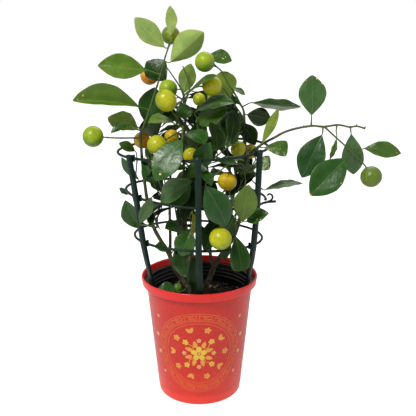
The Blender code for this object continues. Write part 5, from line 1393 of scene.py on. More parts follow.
def leaf_point(leaf, look, u, v):
    """A point on the middle of a real blade: rounded fold, wavy edge, a little twist."""
    b, t, axis, n, side = leaf_frame(leaf)
    length = np.linalg.norm(t - b)
    spread = blade_width(v, leaf[6])
    if leaf[6] > 0 and v > 0.90:
        spread *= math.sqrt(max(1.0 - 0.80 * ((v - 0.90) / 0.10) ** 2.4, 0.0))
    half = 0.5 * leaf[2] * max(spread, 0.012)
    f = math.radians(leaf[4])
    au = abs(u)
    rise = (math.sqrt(u * u + 0.03) - 0.173) / (1.015 - 0.173)
    out = half * u * math.cos(f)
    lift = half * math.sin(f) * rise + leaf[5] * 4 * v * (1 - v) - leaf[5] * 0.3 * v * v
    lift += look["arch"] * leaf[2] * au * au * spread
    swell = math.sin(math.pi * min(max(v, 0.0), 1.0))
    phase = look["phase"] + (2.1 if u < 0 else 0.0)
    lift += look["wave"] * au ** 2.2 * swell * math.sin(2 * math.pi * v * look["waves"] + phase)
    lift += 0.35 * au * (1 - au) * 4 * swell * math.sin(2 * math.pi * (v * 8.5 - au * 1.6)) * 0.35
    out += half * 0.008 * au * math.sin(2 * math.pi * v * 5.3 + phase) * (1 if u > 0 else -1)
    turn = look["twist"] * (v - 0.4)
    out, lift = out * math.cos(turn) - lift * math.sin(turn), out * math.sin(turn) + lift * math.cos(turn)
    out += look["sway"] * 4 * v * (1 - v)
    droop = look["droop"] * v * v * length
    return b + (t - b) * v + side * out + n * (lift - droop)


def add_leaf(sheet, leaf, look):
    rows_v = [k / LEAF_ROWS for k in range(LEAF_ROWS + 1)]
    rows_v = [v + 0.035 * math.sin(2 * math.pi * v) * -1 for v in rows_v]
    grid = np.array([[leaf_point(leaf, look, u, v) for u in ACROSS] for v in rows_v])
    dv = np.gradient(grid, axis=0)
    du = np.gradient(grid, axis=1)
    normal = np.cross(du, dv)
    lengths = np.linalg.norm(normal, axis=2, keepdims=True)
    n_axis = leaf_frame(leaf)[3]
    normal = np.where(lengths > 1e-6, normal / np.maximum(lengths, 1e-6), n_axis)
    if np.mean(normal @ n_axis) < 0:
        normal = -normal
        flip = True
    else:
        flip = False
    top, bottom = [], []
    for i, v in enumerate(rows_v):
        spread = max(blade_width(v, leaf[6]), 0.012)
        row_t, row_b = [], []
        for k, u in enumerate(ACROSS):
            au = abs(u)
            thick = 0.17 - 0.08 * au
            rib = 0.55 * math.exp(-(u * leaf[2] * 0.5 * spread / 0.62) ** 2) * (1.0 - 0.75 * v)
            p = grid[i, k]
            uv = (0.5 + 0.5 * u * spread, v)
            tip = max((v - (1 - look["brown"])) / max(look["brown"], 1e-3), 0.0) if look["brown"] else 0.0
            tip = min(tip * 1.8, 1.0) * (0.6 + 0.4 * au)
            edge = 0.10 * au ** 6
            upper = mixed(mixed(look["upper"], TAN, tip), (0.30, 0.40, 0.10), edge)
            under = mixed(mixed(look["under"], TAN, tip), (0.30, 0.40, 0.10), edge)
            row_t.append(sheet.point(p + normal[i, k] * (thick - rib * 0.30), uv, (*upper, 0.0)))
            row_b.append(sheet.point(p - normal[i, k] * (thick + rib), uv, (*under, 1.0)))
        top.append(row_t)
        bottom.append(row_b)
    n = len(ACROSS)
    for rows, out in ((top, True), (bottom, False)):
        for a, b in zip(rows, rows[1:]):
            for k in range(n - 1):
                quad = (a[k], a[k + 1], b[k + 1], b[k])
                if out == flip:
                    quad = quad[::-1]
                sheet.face(quad, 0)
    rim = ([(r, 0) for r in range(len(top))] + [(len(top) - 1, k) for k in range(1, n)]
           + [(r, n - 1) for r in range(len(top) - 2, -1, -1)] + [(0, k) for k in range(n - 2, 0, -1)])
    for (r, k), (s, j) in zip(rim, rim[1:] + rim[:1]):
        quad = (top[r][k], top[s][j], bottom[s][j], bottom[r][k])
        if flip:
            quad = quad[::-1]
        sheet.face(quad, 0)
    for u, v, size, colour in look["flecks"]:
        add_fleck(sheet, leaf, look, u, v, size, colour)


def mixed(a, b, k):
    return tuple(x + (y - x) * k for x, y in zip(a, b))


def add_fleck(sheet, leaf, look, u, v, size, colour):
    """A dry nick or speck lying on the upper side."""
    rng = random.Random(int((u + 2) * 1000 + v * 77777))
    b, t, axis, n, side = leaf_frame(leaf)
    length = np.linalg.norm(t - b)
    half = max(0.5 * leaf[2] * blade_width(v, leaf[6]), 1.2)
    ring_t, ring_b = [], []
    count = 9
    middle = leaf_point(leaf, look, u, v)
    c = sheet.point(middle + n * 0.42, (0.5, 0.5), (*colour, 0.0))
    d = sheet.point(middle - n * 0.34, (0.5, 0.5), (*colour, 0.0))
    for k in range(count):
        a = 2 * math.pi * k / count
        r = size * 1.25 * rng.uniform(0.55, 1.0)
        uu = min(max(u + r * math.cos(a) / half, -1.08), 1.08)
        vv = min(max(v + r * 0.8 * math.sin(a) / length, 0.0), 1.0)
        p = leaf_point(leaf, look, uu, vv)
        shade = mixed(colour, (0.30, 0.22, 0.06), rng.uniform(0.05, 0.40))
        ring_t.append(sheet.point(p + n * 0.27, (0.5, 0.5), (*shade, 0.0)))
        ring_b.append(sheet.point(p - n * 0.30, (0.5, 0.5), (*shade, 0.0)))
    for k in range(count):
        j = (k + 1) % count
        sheet.face((ring_t[k], ring_t[j], c), 2)
        sheet.face((ring_b[j], ring_b[k], d), 2)
        sheet.face((ring_b[k], ring_b[j], ring_t[j], ring_t[k]), 2)


def petiole_path(root, leaf, look):
    """From the twig into the blade's midrib, curving in along the blade."""
    b, t, axis, n, side = leaf_frame(leaf)
    root = vec(root)
    run = np.linalg.norm(b - root)
    start = (b - root) * 0.9
    end = axis * min(run, 9.0)
    tail = leaf_point(leaf, look, 0.0, 0.12) - n * 0.25
    out = []
    for k in range(9):
        s = k / 8
        h00, h10 = 2 * s ** 3 - 3 * s * s + 1, s ** 3 - 2 * s * s + s
        h01, h11 = -2 * s ** 3 + 3 * s * s, s ** 3 - s * s
        p = root * h00 + start * h10 + leaf_point(leaf, look, 0.0, 0.0) * h01 + end * h11
        out.append((*p, 0.92 - 0.30 * s + 0.25 * math.exp(-((s - 0.97) / 0.05) ** 2)))
    out.append((*tail, 0.34))
    return out


GREEN_TWIG, BROWN_TWIG = (0.085, 0.135, 0.035), (0.07, 0.065, 0.035)


def grown_twig(path, start=None):
    """The twig from inside its parent, with a collar there and small swellings at its nodes."""
    points = [tuple(p) for p in path]
    if start is not None and np.linalg.norm(vec(start) - vec(points[0])) > 0.3:
        points = [(*vec(start), points[0][3])] + points
    fine = smooth_path(points, 2.2)
    out = []
    run = 0.0
    for i, p in enumerate(fine):
        if i:
            run += np.linalg.norm(fine[i][:3] - fine[i - 1][:3])
        collar = 0.45 * math.exp(-run / 3.0)
        node = 0.16 * max(0.0, math.sin(2 * math.pi * run / 13.0)) ** 6
        out.append((*p[:3], max(p[3], 0.75) * (1.0 + collar + node)))
    return out


def add_bud(sheet, at, heading, size, tint):
    """A small pointed bud in a leaf's axil."""
    h = unit(heading)
    ref = unit(np.cross(h, (0.31, 0.52, 0.79)))
    path = [(*(vec(at) + h * size * s), size * w) for s, w in ((0.0, 0.50), (0.5, 0.56), (1.0, 0.46), (1.6, 0.24), (2.0, 0.08))]
    add_tube(sheet, path, 6, lambda s, i, k: (*tint, 0.0), 1)


look_rng = random.Random(7)
for name, shoot in plan["shoots"].items():
    sheet = Sheet()
    looks = LOOKS.get(name)
    table = SHOOTS[name]["twigs"] if name in SHOOTS else FILLERS[name][0]
    for i, twig in enumerate(shoot["twigs"]):
        path = grown_twig(twig, table[i][0] if i == 0 else None)
        old = mixed(GREEN_TWIG, BROWN_TWIG, 0.75 if name in FILLERS else 0.35)

        def shade(s, k, j, old=old):
            return (*mixed(old, GREEN_TWIG, min(s * 1.3, 1.0)), 0.0)
        add_tube(sheet, path, 9, shade, 1)
    for i, (leaf, root) in enumerate(shoot["leaves"]):
        tone, under, brown, flecks, more = looks[i] if looks and i < len(looks) else (look_rng.choice(FILL_TONES), None, 0.0, (), {})
        upper_colour, under_colour = TONES[tone][0], TONES[tone][1]
        if under:
            under_colour = TONES[under][1]
        k = look_rng.uniform(0.90, 1.12)
        warm = look_rng.uniform(-0.10, 0.10)
        look = {"upper": tuple(c * k * (1 + warm * w) for c, w in zip(upper_colour, (1.0, 0.2, -0.6))),
                "under": tuple(c * k for c in under_colour), "brown": brown, "flecks": flecks,
                "arch": look_rng.uniform(-0.05, 0.06), "wave": look_rng.uniform(0.2, 0.7), "waves": look_rng.uniform(2.0, 3.6),
                "phase": look_rng.uniform(0, 6.28), "twist": look_rng.uniform(-0.16, 0.16),
                "sway": look_rng.uniform(-0.9, 0.9), "droop": look_rng.uniform(-0.01, 0.02)}
        look.update(more)
        add_leaf(sheet, leaf, look)
        stalk_tint = mixed(GREEN_TWIG, look["upper"], 0.45)
        add_tube(sheet, petiole_path(root, leaf, look), 8, lambda s, i2, k2: (*stalk_tint, 0.0), 1, cap_start=False)
        away = unit(vec(leaf[0]) - vec(root))
        add_bud(sheet, vec(root) + away * 0.5 + np.array((0, 0, 0.5)), away * 0.5 + np.array((0, 0, 0.8)), 0.75, GREEN_TWIG)
    mesh = joined_mesh(sheet, "leaves_" + name, "LeafUV")
    add_object("leafy_" + name, mesh, [LEAF_SKIN, TWIG_SKIN, DRY_EDGE], (name,))
# ---------------------------------------------------------------- stems
OLD_BARK, MID_BARK, NEW_BARK = (0.105, 0.088, 0.058), (0.085, 0.082, 0.045), (0.075, 0.115, 0.032)
STEM_AGE = {  # age at the foot and at the tip: 1 is old bark, 0 is green wood
    "trunk_right": (1.0, 0.25), "trunk_left": (1.0, 0.20), "fork_right": (0.85, 0.15), "stem_centre": (0.75, 0.10),
    "stem_back_left": (0.7, 0.1), "stem_back_right": (0.7, 0.1), "arching_branch": (0.35, 0.15), "stalk_left": (0.2, 0.0)}


def bark_colour(age):
    if age > 0.5:
        return mixed(MID_BARK, OLD_BARK, (age - 0.5) * 2)
    return mixed(NEW_BARK, MID_BARK, age * 2)


for name, points in STEMS.items():
    fine = smooth_path(points, 2.0)
    seed = sum(map(ord, name)) * 0.013
    out, run = [], 0.0
    length = sum(np.linalg.norm(b[:3] - a[:3]) for a, b in zip(fine, fine[1:]))
    for i, p in enumerate(fine):
        if i:
            run += np.linalg.norm(fine[i][:3] - fine[i - 1][:3])
        grow = 1.0
        if not name.startswith("trunk"):
            grow += 0.38 * math.exp(-run / 5.0)
        # old nodes, where leaves have stood
        grow += 0.10 * max(0.0, math.sin(2 * math.pi * (run / 19.0 + seed))) ** 5
        wob = 0.35 * min(p[3], 3.0) * 0.3
        x = p[0] + wob * fbm(seed, run * 0.05, 3.0, 1.0)
        y = p[1] + wob * fbm(seed + 7, run * 0.05, 5.0, 1.0)
        out.append((x, y, p[2], p[3] * grow))
    foot, tip = STEM_AGE[name]

    def colour_at(s, i, k, foot=foot, tip=tip):
        age = foot + (tip - foot) * min(s * 1.15, 1.0)
        return (*bark_colour(age), age)

    def lumps(i, k, arc, seed=seed, out=out, foot=foot):
        a = 2 * math.pi * k / 18
        r = out[i][3]
        return r * (0.07 * fbm(math.cos(a) * 1.3 + seed * 9, math.sin(a) * 1.3, arc * 0.06, 1.0, 4)
                    + 0.035 * foot * fbm(math.cos(a) * 4 + seed, math.sin(a) * 4, arc * 0.22, 1.0, 3))
    sheet = Sheet()
    add_tube(sheet, out, 18, colour_at, 0, lumps)
    if name == "arching_branch":
        # dry spurs and buds along the bare end
        for share, dx, dz, size in ((0.56, -1.0, 1.0, 1.3), (0.72, 0.5, 1.0, 1.1), (0.84, 1.0, -0.6, 1.0), (0.93, 0.7, 1.0, 1.4), (0.995, 1.0, 0.8, 1.6)):
            p = out[int(share * (len(out) - 1))]
            add_tube(sheet, [(p[0], p[1], p[2], size * 0.6), (p[0] + dx * size, p[1] - 0.3, p[2] + dz * size * 1.1, size * 0.5),
                             (p[0] + dx * size * 1.7, p[1] - 0.5, p[2] + dz * size * 2.1, size * 0.2)], 8,
                     lambda s, i, k: (*mixed(NEW_BARK, (0.20, 0.14, 0.06), s), 0.4), 0)
    if name == "trunk_right":
        # the healed cut at the fork
        c = np.array((22.0, 8.0, 183.0))
        out_dir = unit(np.array((-0.35, -0.9, 0.45)))
        u = unit(np.cross(out_dir, (0, 0, 1)))
        w = np.cross(out_dir, u)
        rings = []
        for r, h, col in ((3.2, 2.2, OLD_BARK), (3.0, 3.4, (0.13, 0.11, 0.08)), (2.3, 3.9, (0.17, 0.15, 0.11)), (1.5, 3.4, (0.20, 0.16, 0.10)), (0.5, 3.2, (0.12, 0.09, 0.06))):
            rings.append([sheet.point(c + out_dir * h + r * (math.cos(a) * u + math.sin(a) * w) * (1 + 0.08 * math.sin(3 * a)),
                                      (a / 6.28, r * 0.01), (*col, 1.0)) for a in [2 * math.pi * k / 16 for k in range(16)]])
        sheet.grid(rings, 0, wrap=True)
        last = sheet.point(c + out_dir * 3.1, (0.5, 0.0), (0.10, 0.075, 0.05, 1.0))
        for k in range(16):
            sheet.face((rings[-1][k], rings[-1][(k + 1) % 16], last), 0)
        back = sheet.point(c, (0.5, 0.0), (0.1, 0.08, 0.05, 1.0))
        for k in range(16):
            sheet.face((rings[0][(k + 1) % 16], rings[0][k], back), 0)
    mesh = joined_mesh(sheet, "bark_" + name)
    add_object("bark_" + name, mesh, [BARK_SKIN], (name,))

# ---------------------------------------------------------------- fruits
# colours: main, second, direction the second one faces, how much of the fruit it covers
LIME, GREEN, OLIVE, GOLD_SKIN, ORANGE, DEEP_GREEN, LEMON, OLIVE_GOLD, MID_OLIVE = (
    (0.30, 0.41, 0.004), (0.11, 0.24, 0.010), (0.15, 0.25, 0.008), (0.72, 0.47, 0.004), (0.66, 0.24, 0.006),
    (0.035, 0.095, 0.010), (0.50, 0.49, 0.003), (0.32, 0.35, 0.003), (0.125, 0.20, 0.013))
FRUIT_COLOURS = {
    "fruit_top": (MID_OLIVE, OLIVE_GOLD, (0.8, -0.4, -0.2), 0.38),
    "fruit_top_right": (GREEN, LIME, (-0.2, -0.5, 0.9), 0.42),
    "fruit_upper_left": (OLIVE_GOLD, LEMON, (0.9, -0.5, 0.1), 0.50),
    "fruit_upper_left_rear": (LIME, GREEN, (0.6, -0.2, -0.6), 0.35),
    "fruit_orange": (ORANGE, GOLD_SKIN, (-0.3, 0, 0.8), 0.3),
    "fruit_upper_right": (OLIVE_GOLD, LEMON, (0.2, -0.8, -0.2), 0.50),
    "fruit_far_left": (GREEN, LIME, (0.1, -0.5, 0.9), 0.42),
    "fruit_amber": (GOLD_SKIN, ORANGE, (0.9, -0.2, -0.3), 0.45),
    "fruit_inside_left": (LIME, LEMON, (0.3, -0.6, 0.7), 0.45),
    "fruit_inside_yellow": (LEMON, GOLD_SKIN, (0.2, -0.3, 0.8), 0.4),
    "fruit_behind_stake": (GOLD_SKIN, LEMON, (0.0, -0.3, 0.8), 0.4),
    "fruit_centre_yellow": (LEMON, LIME, (0.0, -0.3, -0.8), 0.4),
    "fruit_right_inner": (LIME, LEMON, (0.2, -0.8, 0.1), 0.45),
    "fruit_right_rear": (LEMON, GOLD_SKIN, (0.6, -0.4, 0.3), 0.45),
    "fruit_gold": (LEMON, GOLD_SKIN, (0.1, -0.9, -0.35), 0.50),
    "fruit_low_front": (LIME, LEMON, (-0.1, -0.7, 0.65), 0.35),
    "fruit_far_right": (MID_OLIVE, MID_OLIVE, (0.1, -0.5, 0.9), 0.45),
    "fruit_small_low": (DEEP_GREEN, GREEN, (0.3, -0.8, 0.4), 0.4),
}
CALYX = (0.085, 0.15, 0.035)


def fruit_profile(phi, squash):
    """Distance from the middle at an angle from the stalk: a little hollow at the stalk, flatter at both ends."""
    c = math.cos(phi)
    r = 1.0 / math.sqrt(math.sin(phi) ** 2 + (c / squash) ** 2)
    r -= 0.035 * math.exp(-(phi / 0.30) ** 2)
    r -= 0.018 * math.exp(-((math.pi - phi) / 0.22) ** 2)
    return r


for name, (centre, radius, squash, origin, stalk) in plan["fruits"].items():
    sheet = Sheet()
    rng = random.Random(name)
    away = unit(vec(origin) - vec(centre))
    ref = np.array((0.3, 0.9, 0.1))
    u = unit(np.cross(away, ref))
    w = np.cross(away, u)
    main, second, facing, cover = FRUIT_COLOURS[name]
    facing = unit(np.array(facing, float))
    seed = rng.uniform(0, 50)
    rings, seg = 34, 48
    rows = []
    for i in range(rings + 1):
        phi = math.pi * i / rings
        row = []
        for k in range(seg + 1):
            a = 2 * math.pi * (k % seg) / seg
            d = away * math.cos(phi) + (u * math.cos(a) + w * math.sin(a)) * math.sin(phi)
            soft = 0.010 * fbm(d[0] + seed, d[1], d[2], 1.2, 2) + 0.0035 * math.cos(8 * a + seed) * math.exp(-((phi - 0.35) / 0.3) ** 2)
            fine = 0.0022 * fbm(d[0] * 9 + seed, d[1] * 9, d[2] * 9, 1.0, 2)
            r = radius * (fruit_profile(phi, squash) + soft + fine)
            mix = (d.dot(facing) + 0.30 * fbm(d[0] + seed, d[1] + 3, d[2], 1.7, 3) - (1 - 2 * cover)) * 0.9 + 0.5
            mix = min(max(mix, 0.0), 1.0)
            mix = mix * mix * (3 - 2 * mix)
            colour = mixed(main, second, mix)
            if phi < 0.5:
                colour = mixed(colour, GREEN, (1 - phi / 0.5) * 0.5)
            if math.pi - phi < 0.16:
                colour = mixed(colour, (0.22, 0.17, 0.05), (1 - (math.pi - phi) / 0.16) * 0.8)
            row.append(sheet.point(vec(centre) + d * r, (k / seg, i / rings), (*colour, 0.0)))
        rows.append(row)
    for a, b in zip(rows, rows[1:]):
        for k in range(seg):
            sheet.face((a[k], b[k], b[k + 1], a[k + 1]), 0)
    # the calyx: five blunt lobes lying on the shoulder, and the stalk
    top = vec(centre) + away * radius * fruit_profile(0.0, squash)
    ring_rows = []
    for share, lift in ((0.0, 0.55), (0.35, 0.60), (0.7, 0.42), (1.0, 0.10)):
        row = []
        for k in range(30):
            a = 2 * math.pi * k / 30
            reach = radius * (0.15 + 0.12 * max(math.cos(5 * a + seed), -0.35)) * share + 0.3
            base = vec(centre) + away * radius * (fruit_profile(reach / radius, squash) * math.cos(reach / radius))
            row.append(sheet.point(base + (u * math.cos(a) + w * math.sin(a)) * reach + away * (lift + 0.05), (share, k / 30), (*mixed(CALYX, (0.16, 0.20, 0.06), share), 0.0)))
        ring_rows.append(row)
    under = []
    for k in range(30):
        a = 2 * math.pi * k / 30
        reach = radius * (0.15 + 0.12 * max(math.cos(5 * a + seed), -0.35)) + 0.2
        base = vec(centre) + away * radius * (fruit_profile(reach / radius, squash) * math.cos(reach / radius))
        under.append(sheet.point(base + (u * math.cos(a) + w * math.sin(a)) * reach - away * 0.25, (1.0, k / 30), (*CALYX, 0.0)))
    sheet.grid(ring_rows + [under], 1, wrap=True)
    c0 = sheet.point(top + away * 0.55, (0.5, 0.5), (*CALYX, 0.0))
    c1 = sheet.point(vec(centre) + away * (radius * 0.86), (0.5, 0.5), (*CALYX, 0.0))
    for k in range(30):
        sheet.face((ring_rows[0][(k + 1) % 30], ring_rows[0][k], c0), 1)
        sheet.face((under[k], under[(k + 1) % 30], c1), 1)
    # stalk, carried on to the twig it grows from
    line = [tuple(top - away * 0.6) + (1.25,), tuple(top + away * 1.2) + (1.15,), tuple(top + away * 3.0) + (0.85,)]
    rest = [p for p in stalk if np.linalg.norm(vec(p) - vec(centre)) > radius + 5.0]
    for p in rest[::4]:
        line.append((*vec(p), 0.80))
    end = vec(origin)
    if np.linalg.norm(vec(line[-1]) - end) > 1.5:
        line.append((*end, 0.95))
    add_tube(sheet, [tuple(p) for p in smooth_path(line, 1.6)], 10, lambda s, i, k: (*mixed(CALYX, GREEN_TWIG, s), 0.0), 1)
    # the scar of the style at the other end
    bottom = vec(centre) - away * radius * fruit_profile(math.pi, squash)
    scar = []
    for r, h, col in ((1.05, -0.12, (0.20, 0.16, 0.05)), (0.75, 0.16, (0.26, 0.20, 0.07)), (0.35, 0.08, (0.10, 0.06, 0.02))):
        scar.append([sheet.point(bottom - away * h + (u * math.cos(a) + w * math.sin(a)) * r, (r, a / 6.28), (*col, 0.0))
                     for a in [2 * math.pi * k / 12 for k in range(12)]])
    sheet.grid(scar[::-1], 1, wrap=True)
    c = sheet.point(bottom - away * 0.02, (0.5, 0.5), (0.08, 0.05, 0.02, 0.0))
    c2 = sheet.point(bottom + away * 0.6, (0.5, 0.5), (0.08, 0.05, 0.02, 0.0))
    for k in range(12):
        sheet.face((scar[-1][k], scar[-1][(k + 1) % 12], c), 1)
        sheet.face((scar[0][(k + 1) % 12], scar[0][k], c2), 1)
    mesh = joined_mesh(sheet, name + "_skin")
    add_object("ripe_" + name, mesh, [RIND, TWIG_SKIN], (name,))
# ---------------------------------------------------------------- pot, liner and soil
def pot_radius(z):
    return BASE_RADIUS + (BODY_TOP_RADIUS - BASE_RADIUS) * z / (POT_HEIGHT - RIM_BAND)


def liner_radius(z):
    return pot_radius(z) - POT_WALL - 0.6


BAND_FOOT = POT_HEIGHT - RIM_BAND


def pot_material():
    mat, g = new_material("red_pot_plastic")
    pos = g.coord("Object")
    x, y, z = g.split(pos)
    around = g.math("ARCTAN2", y, x)
    # tone on tone printed cloud scrolls, wrapped round the pot
    wrap = g.join(g.math("MULTIPLY", around, 0.0675), z, 0.0)
    warp = g.noise(g.scaled(wrap, 42.0), 1.0, 2.0)
    scroll = g.cells(g.scaled(g.vmath("ADD", wrap, g.join(g.math("MULTIPLY", warp, 0.008), g.math("MULTIPLY", warp, 0.006), 0.0)), 68.0), 1.0)
    band = g.math("ABSOLUTE", g.math("SUBTRACT", g.math("FRACT", g.math("MULTIPLY", scroll, 3.2)), 0.5))
    scrolls = g.ramp(band, 0.16, 0.06)
    in_body = g.math("MULTIPLY", g.ramp(z, 0.010, 0.016), g.ramp(z, 0.160, 0.152))
    broad = g.noise(g.scaled(pos, 26.0), 1.0, 3.0)
    fine = g.noise(g.scaled(pos, 420.0), 1.0, 3.0)
    # the lower body is painted a lighter red towards the foot: a painted reflection of the white floor
    low = g.ramp(z, 0.075, 0.012)
    streaks = g.noise(g.scaled(pos, (30.0, 30.0, 75.0)), 1.0, 4.0, 0.6)
    red = g.mix(low, (0.62, 0.012, 0.004), (0.84, 0.030, 0.014))
    red = g.mix(g.math("MULTIPLY", g.ramp(streaks, 0.40, 0.66), 0.35), red, (0.56, 0.010, 0.004))
    # the rim band is painted a lighter red than the body: a painted highlight on the band
    red = g.mix(g.ramp(z, BAND_FOOT * MM - 0.002, BAND_FOOT * MM - 0.0005), red, (0.80, 0.012, 0.009))
    red = g.mix(g.math("MULTIPLY", g.ramp(broad, 0.38, 0.66), 0.22), red, (0.60, 0.030, 0.012))
    red = g.mix(g.math("MULTIPLY", g.math("MULTIPLY", scrolls, in_body), 0.12), red, (0.74, 0.12, 0.045))
    # the bottom edge is painted a bright red: a painted reflection of the white floor
    red = g.mix(g.ramp(z, 0.017, 0.010), red, (0.96, 0.050, 0.028))
    scuffs = g.noise(g.scaled(pos, 95.0), 1.0, 4.0, 0.6)
    g.set("Base Color", red)
    g.set("Roughness", g.ramp(scuffs, 0.35, 0.75, 0.30, 0.40))
    g.set("Specular IOR Level", 0.45)
    g.set("Coat Weight", 0.20)
    g.set("Coat Roughness", 0.14)
    height = g.math("ADD", g.math("MULTIPLY", broad, 1.5), g.math("MULTIPLY", fine, 0.10))
    g.set("Normal", g.bump(height, 0.25, 0.0008))
    return mat


def ink_material():
    mat, g = new_material("gold_print")
    tint = g.attribute("tint")
    wear = g.noise(g.scaled(g.coord("Object"), 700.0), 1.0, 3.0)
    g.set("Base Color", g.mix(g.math("MULTIPLY", g.ramp(wear, 0.42, 0.72), 0.35), tint, (0.62, 0.20, 0.04)))
    g.set("Roughness", 0.42)
    g.set("Metallic", 0.15)
    return mat


def black_plastic():
    mat, g = new_material("black_liner_plastic")
    pos = g.coord("Object")
    dust = g.noise(g.scaled(pos, 55.0), 1.0, 4.0, 0.6)
    fine = g.noise(g.scaled(pos, 700.0), 1.0, 3.0)
    colour = g.mix(g.math("MULTIPLY", g.ramp(dust, 0.5, 0.8), 0.35), (0.0022, 0.0022, 0.0025), (0.016, 0.014, 0.011))
    g.set("Base Color", colour)
    g.set("Roughness", g.ramp(dust, 0.3, 0.75, 0.34, 0.60))
    g.set("Specular IOR Level", 0.4)
    g.set("Normal", g.bump(fine, 0.3, 0.0003))
    return mat


def soil_material():
    mat, g = new_material("potting_mix")
    tint = g.attribute("tint")
    pos = g.coord("Object")
    clump = g.noise(g.scaled(pos, 150.0), 1.0, 5.0, 0.65)
    grit = g.cells(g.scaled(pos, 700.0), 1.0)
    fibre = g.noise(g.scaled(pos, (1400.0, 300.0, 700.0)), 1.0, 3.0)
    colour = g.mix(g.ramp(clump, 0.35, 0.7), g.mix(1.0, tint, (0.30, 0.30, 0.30), "MULTIPLY"), g.mix(1.0, tint, (1.0, 0.92, 0.84), "MULTIPLY"))
    colour = g.mix(g.math("MULTIPLY", g.ramp(fibre, 0.62, 0.75), 0.35), colour, (0.050, 0.034, 0.020))
    g.set("Base Color", colour)
    g.set("Roughness", 0.95)
    g.set("Specular IOR Level", 0.15)
    g.set("Normal", g.bump(g.math("ADD", g.math("MULTIPLY", clump, 2.0), grit), 0.8, 0.0015))
    return mat


def bits_material():
    mat, g = new_material("bark_and_perlite")
    tint = g.attribute("tint")
    grain = g.noise(g.scaled(g.coord("Object"), (500.0, 1500.0, 900.0)), 1.0, 4.0, 0.6)
    g.set("Base Color", g.mix(g.ramp(grain, 0.35, 0.7), g.mix(1.0, tint, (0.55, 0.52, 0.5), "MULTIPLY"), g.mix(1.0, tint, (1.25, 1.2, 1.15), "MULTIPLY")))
    g.set("Roughness", 0.9)
    g.set("Normal", g.bump(grain, 0.6, 0.0006))
    return mat


RED_PLASTIC, GOLD_INK, BLACK_PLASTIC, PEAT, BITS = pot_material(), ink_material(), black_plastic(), soil_material(), bits_material()

sheet = Sheet()
profile = rounded([
    (0.0, 2.0), (pot_radius(2.0) - POT_WALL, 2.0),
    (pot_radius(BAND_FOOT) - POT_WALL, BAND_FOOT), (RIM_RADIUS - 3.9, BAND_FOOT + 1.0),
    (RIM_RADIUS - 3.1, POT_HEIGHT - 1.2), (RIM_RADIUS - 2.0, POT_HEIGHT), (RIM_RADIUS - 0.6, POT_HEIGHT - 0.1),
    (RIM_RADIUS, POT_HEIGHT - 1.9), (RIM_RADIUS - 1.35, BAND_FOOT + 0.4), (RIM_RADIUS - 2.3, BAND_FOOT - 0.7),
    (pot_radius(BAND_FOOT - 0.7) + 0.3, BAND_FOOT - 0.6), (pot_radius(BAND_FOOT - 2.2), BAND_FOOT - 2.4),
    (pot_radius(100.0), 100.0), (pot_radius(50.0), 50.0), (pot_radius(8.5), 8.5), (pot_radius(7.6) - 0.35, 7.6),
    (pot_radius(1.6) - 0.35, 1.6), (pot_radius(0.0) - 2.0, 0.0), (BASE_RADIUS - 5.5, 0.0), (BASE_RADIUS - 7.0, 0.55),
    (30.0, 0.55), (0.0, 0.55)], 1.3, 3)
lathe(sheet, profile, 160)
pot = add_object("red_pot", joined_mesh(sheet, "red_pot"), [RED_PLASTIC], ("outer_pot",))

# the gold print: thin films of ink on the front of the pot
ink = Sheet()
CREST_Z = 83.0
FILM = 0.16
GOLD_LINE, GOLD_LIGHT, CREAM = (0.82, 0.205, 0.050), (0.84, 0.36, 0.050), (0.84, 0.50, 0.18)


def on_pot(s, h, lift=FILM):
    """A point on the pot's side: s mm round from the front, h mm up from the crest's middle."""
    z = CREST_Z + h
    r = pot_radius(z)
    a = -math.pi / 2 + s / pot_radius(CREST_Z)
    return np.array(((r + lift) * math.cos(a), (r + lift) * math.sin(a), z))


def ink_strip(line, width, colour, closed=False):
    """A line of ink through (s, h) points."""
    pts = [np.array(p, float) for p in line]
    fine = []
    n = len(pts)
    for i in range(n if closed else n - 1):
        a, b = pts[i], pts[(i + 1) % n]
        m = max(1, int(np.linalg.norm(b - a) / 2.0))
        fine += [a + (b - a) * k / m for k in range(m)]
    if not closed:
        fine.append(pts[-1])
    m = len(fine)
    tops, lows = [], []
    for i in range(m):
        before = fine[i - 1] if (i or closed) else None
        after = fine[(i + 1) % m] if (i < m - 1 or closed) else None
        d1 = unit(fine[i] - before) if before is not None else None
        d2 = unit(after - fine[i]) if after is not None else None
        d1 = d2 if d1 is None else d1
        d2 = d1 if d2 is None else d2
        mean = unit(d1 + d2) if np.linalg.norm(d1 + d2) > 0.2 else d2
        side = np.array((-mean[1], mean[0]))
        stretch = 1.0 / max(abs(mean.dot(d1)), 0.6)
        l, r = fine[i] + side * width / 2 * stretch, fine[i] - side * width / 2 * stretch
        if not closed and i == 0:
            l, r = l - mean * width / 2, r - mean * width / 2
        if not closed and i == m - 1:
            l, r = l + mean * width / 2, r + mean * width / 2
        shade = mixed(colour, (0.66, 0.11, 0.025), 0.25 + 0.25 * math.sin(i * 0.7))
        tops.append([ink.point(on_pot(*l), (0, 0), (*shade, 1.0)), ink.point(on_pot(*r), (1, 0), (*shade, 1.0))])
        lows.append([ink.point(on_pot(*l, -0.1), (0, 0), (*shade, 1.0)), ink.point(on_pot(*r, -0.1), (1, 0), (*shade, 1.0))])
    steps = range(m if closed else m - 1)
    for i in steps:
        j = (i + 1) % m
        ink.face((tops[i][1], tops[j][1], tops[j][0], tops[i][0]))
        ink.face((lows[i][0], lows[j][0], lows[j][1], lows[i][1]))
        ink.face((tops[i][0], tops[j][0], lows[j][0], lows[i][0]))
        ink.face((lows[i][1], lows[j][1], tops[j][1], tops[i][1]))
    if not closed:
        ink.face((tops[0][0], lows[0][0], lows[0][1], tops[0][1]))
        ink.face((tops[-1][1], lows[-1][1], lows[-1][0], tops[-1][0]))


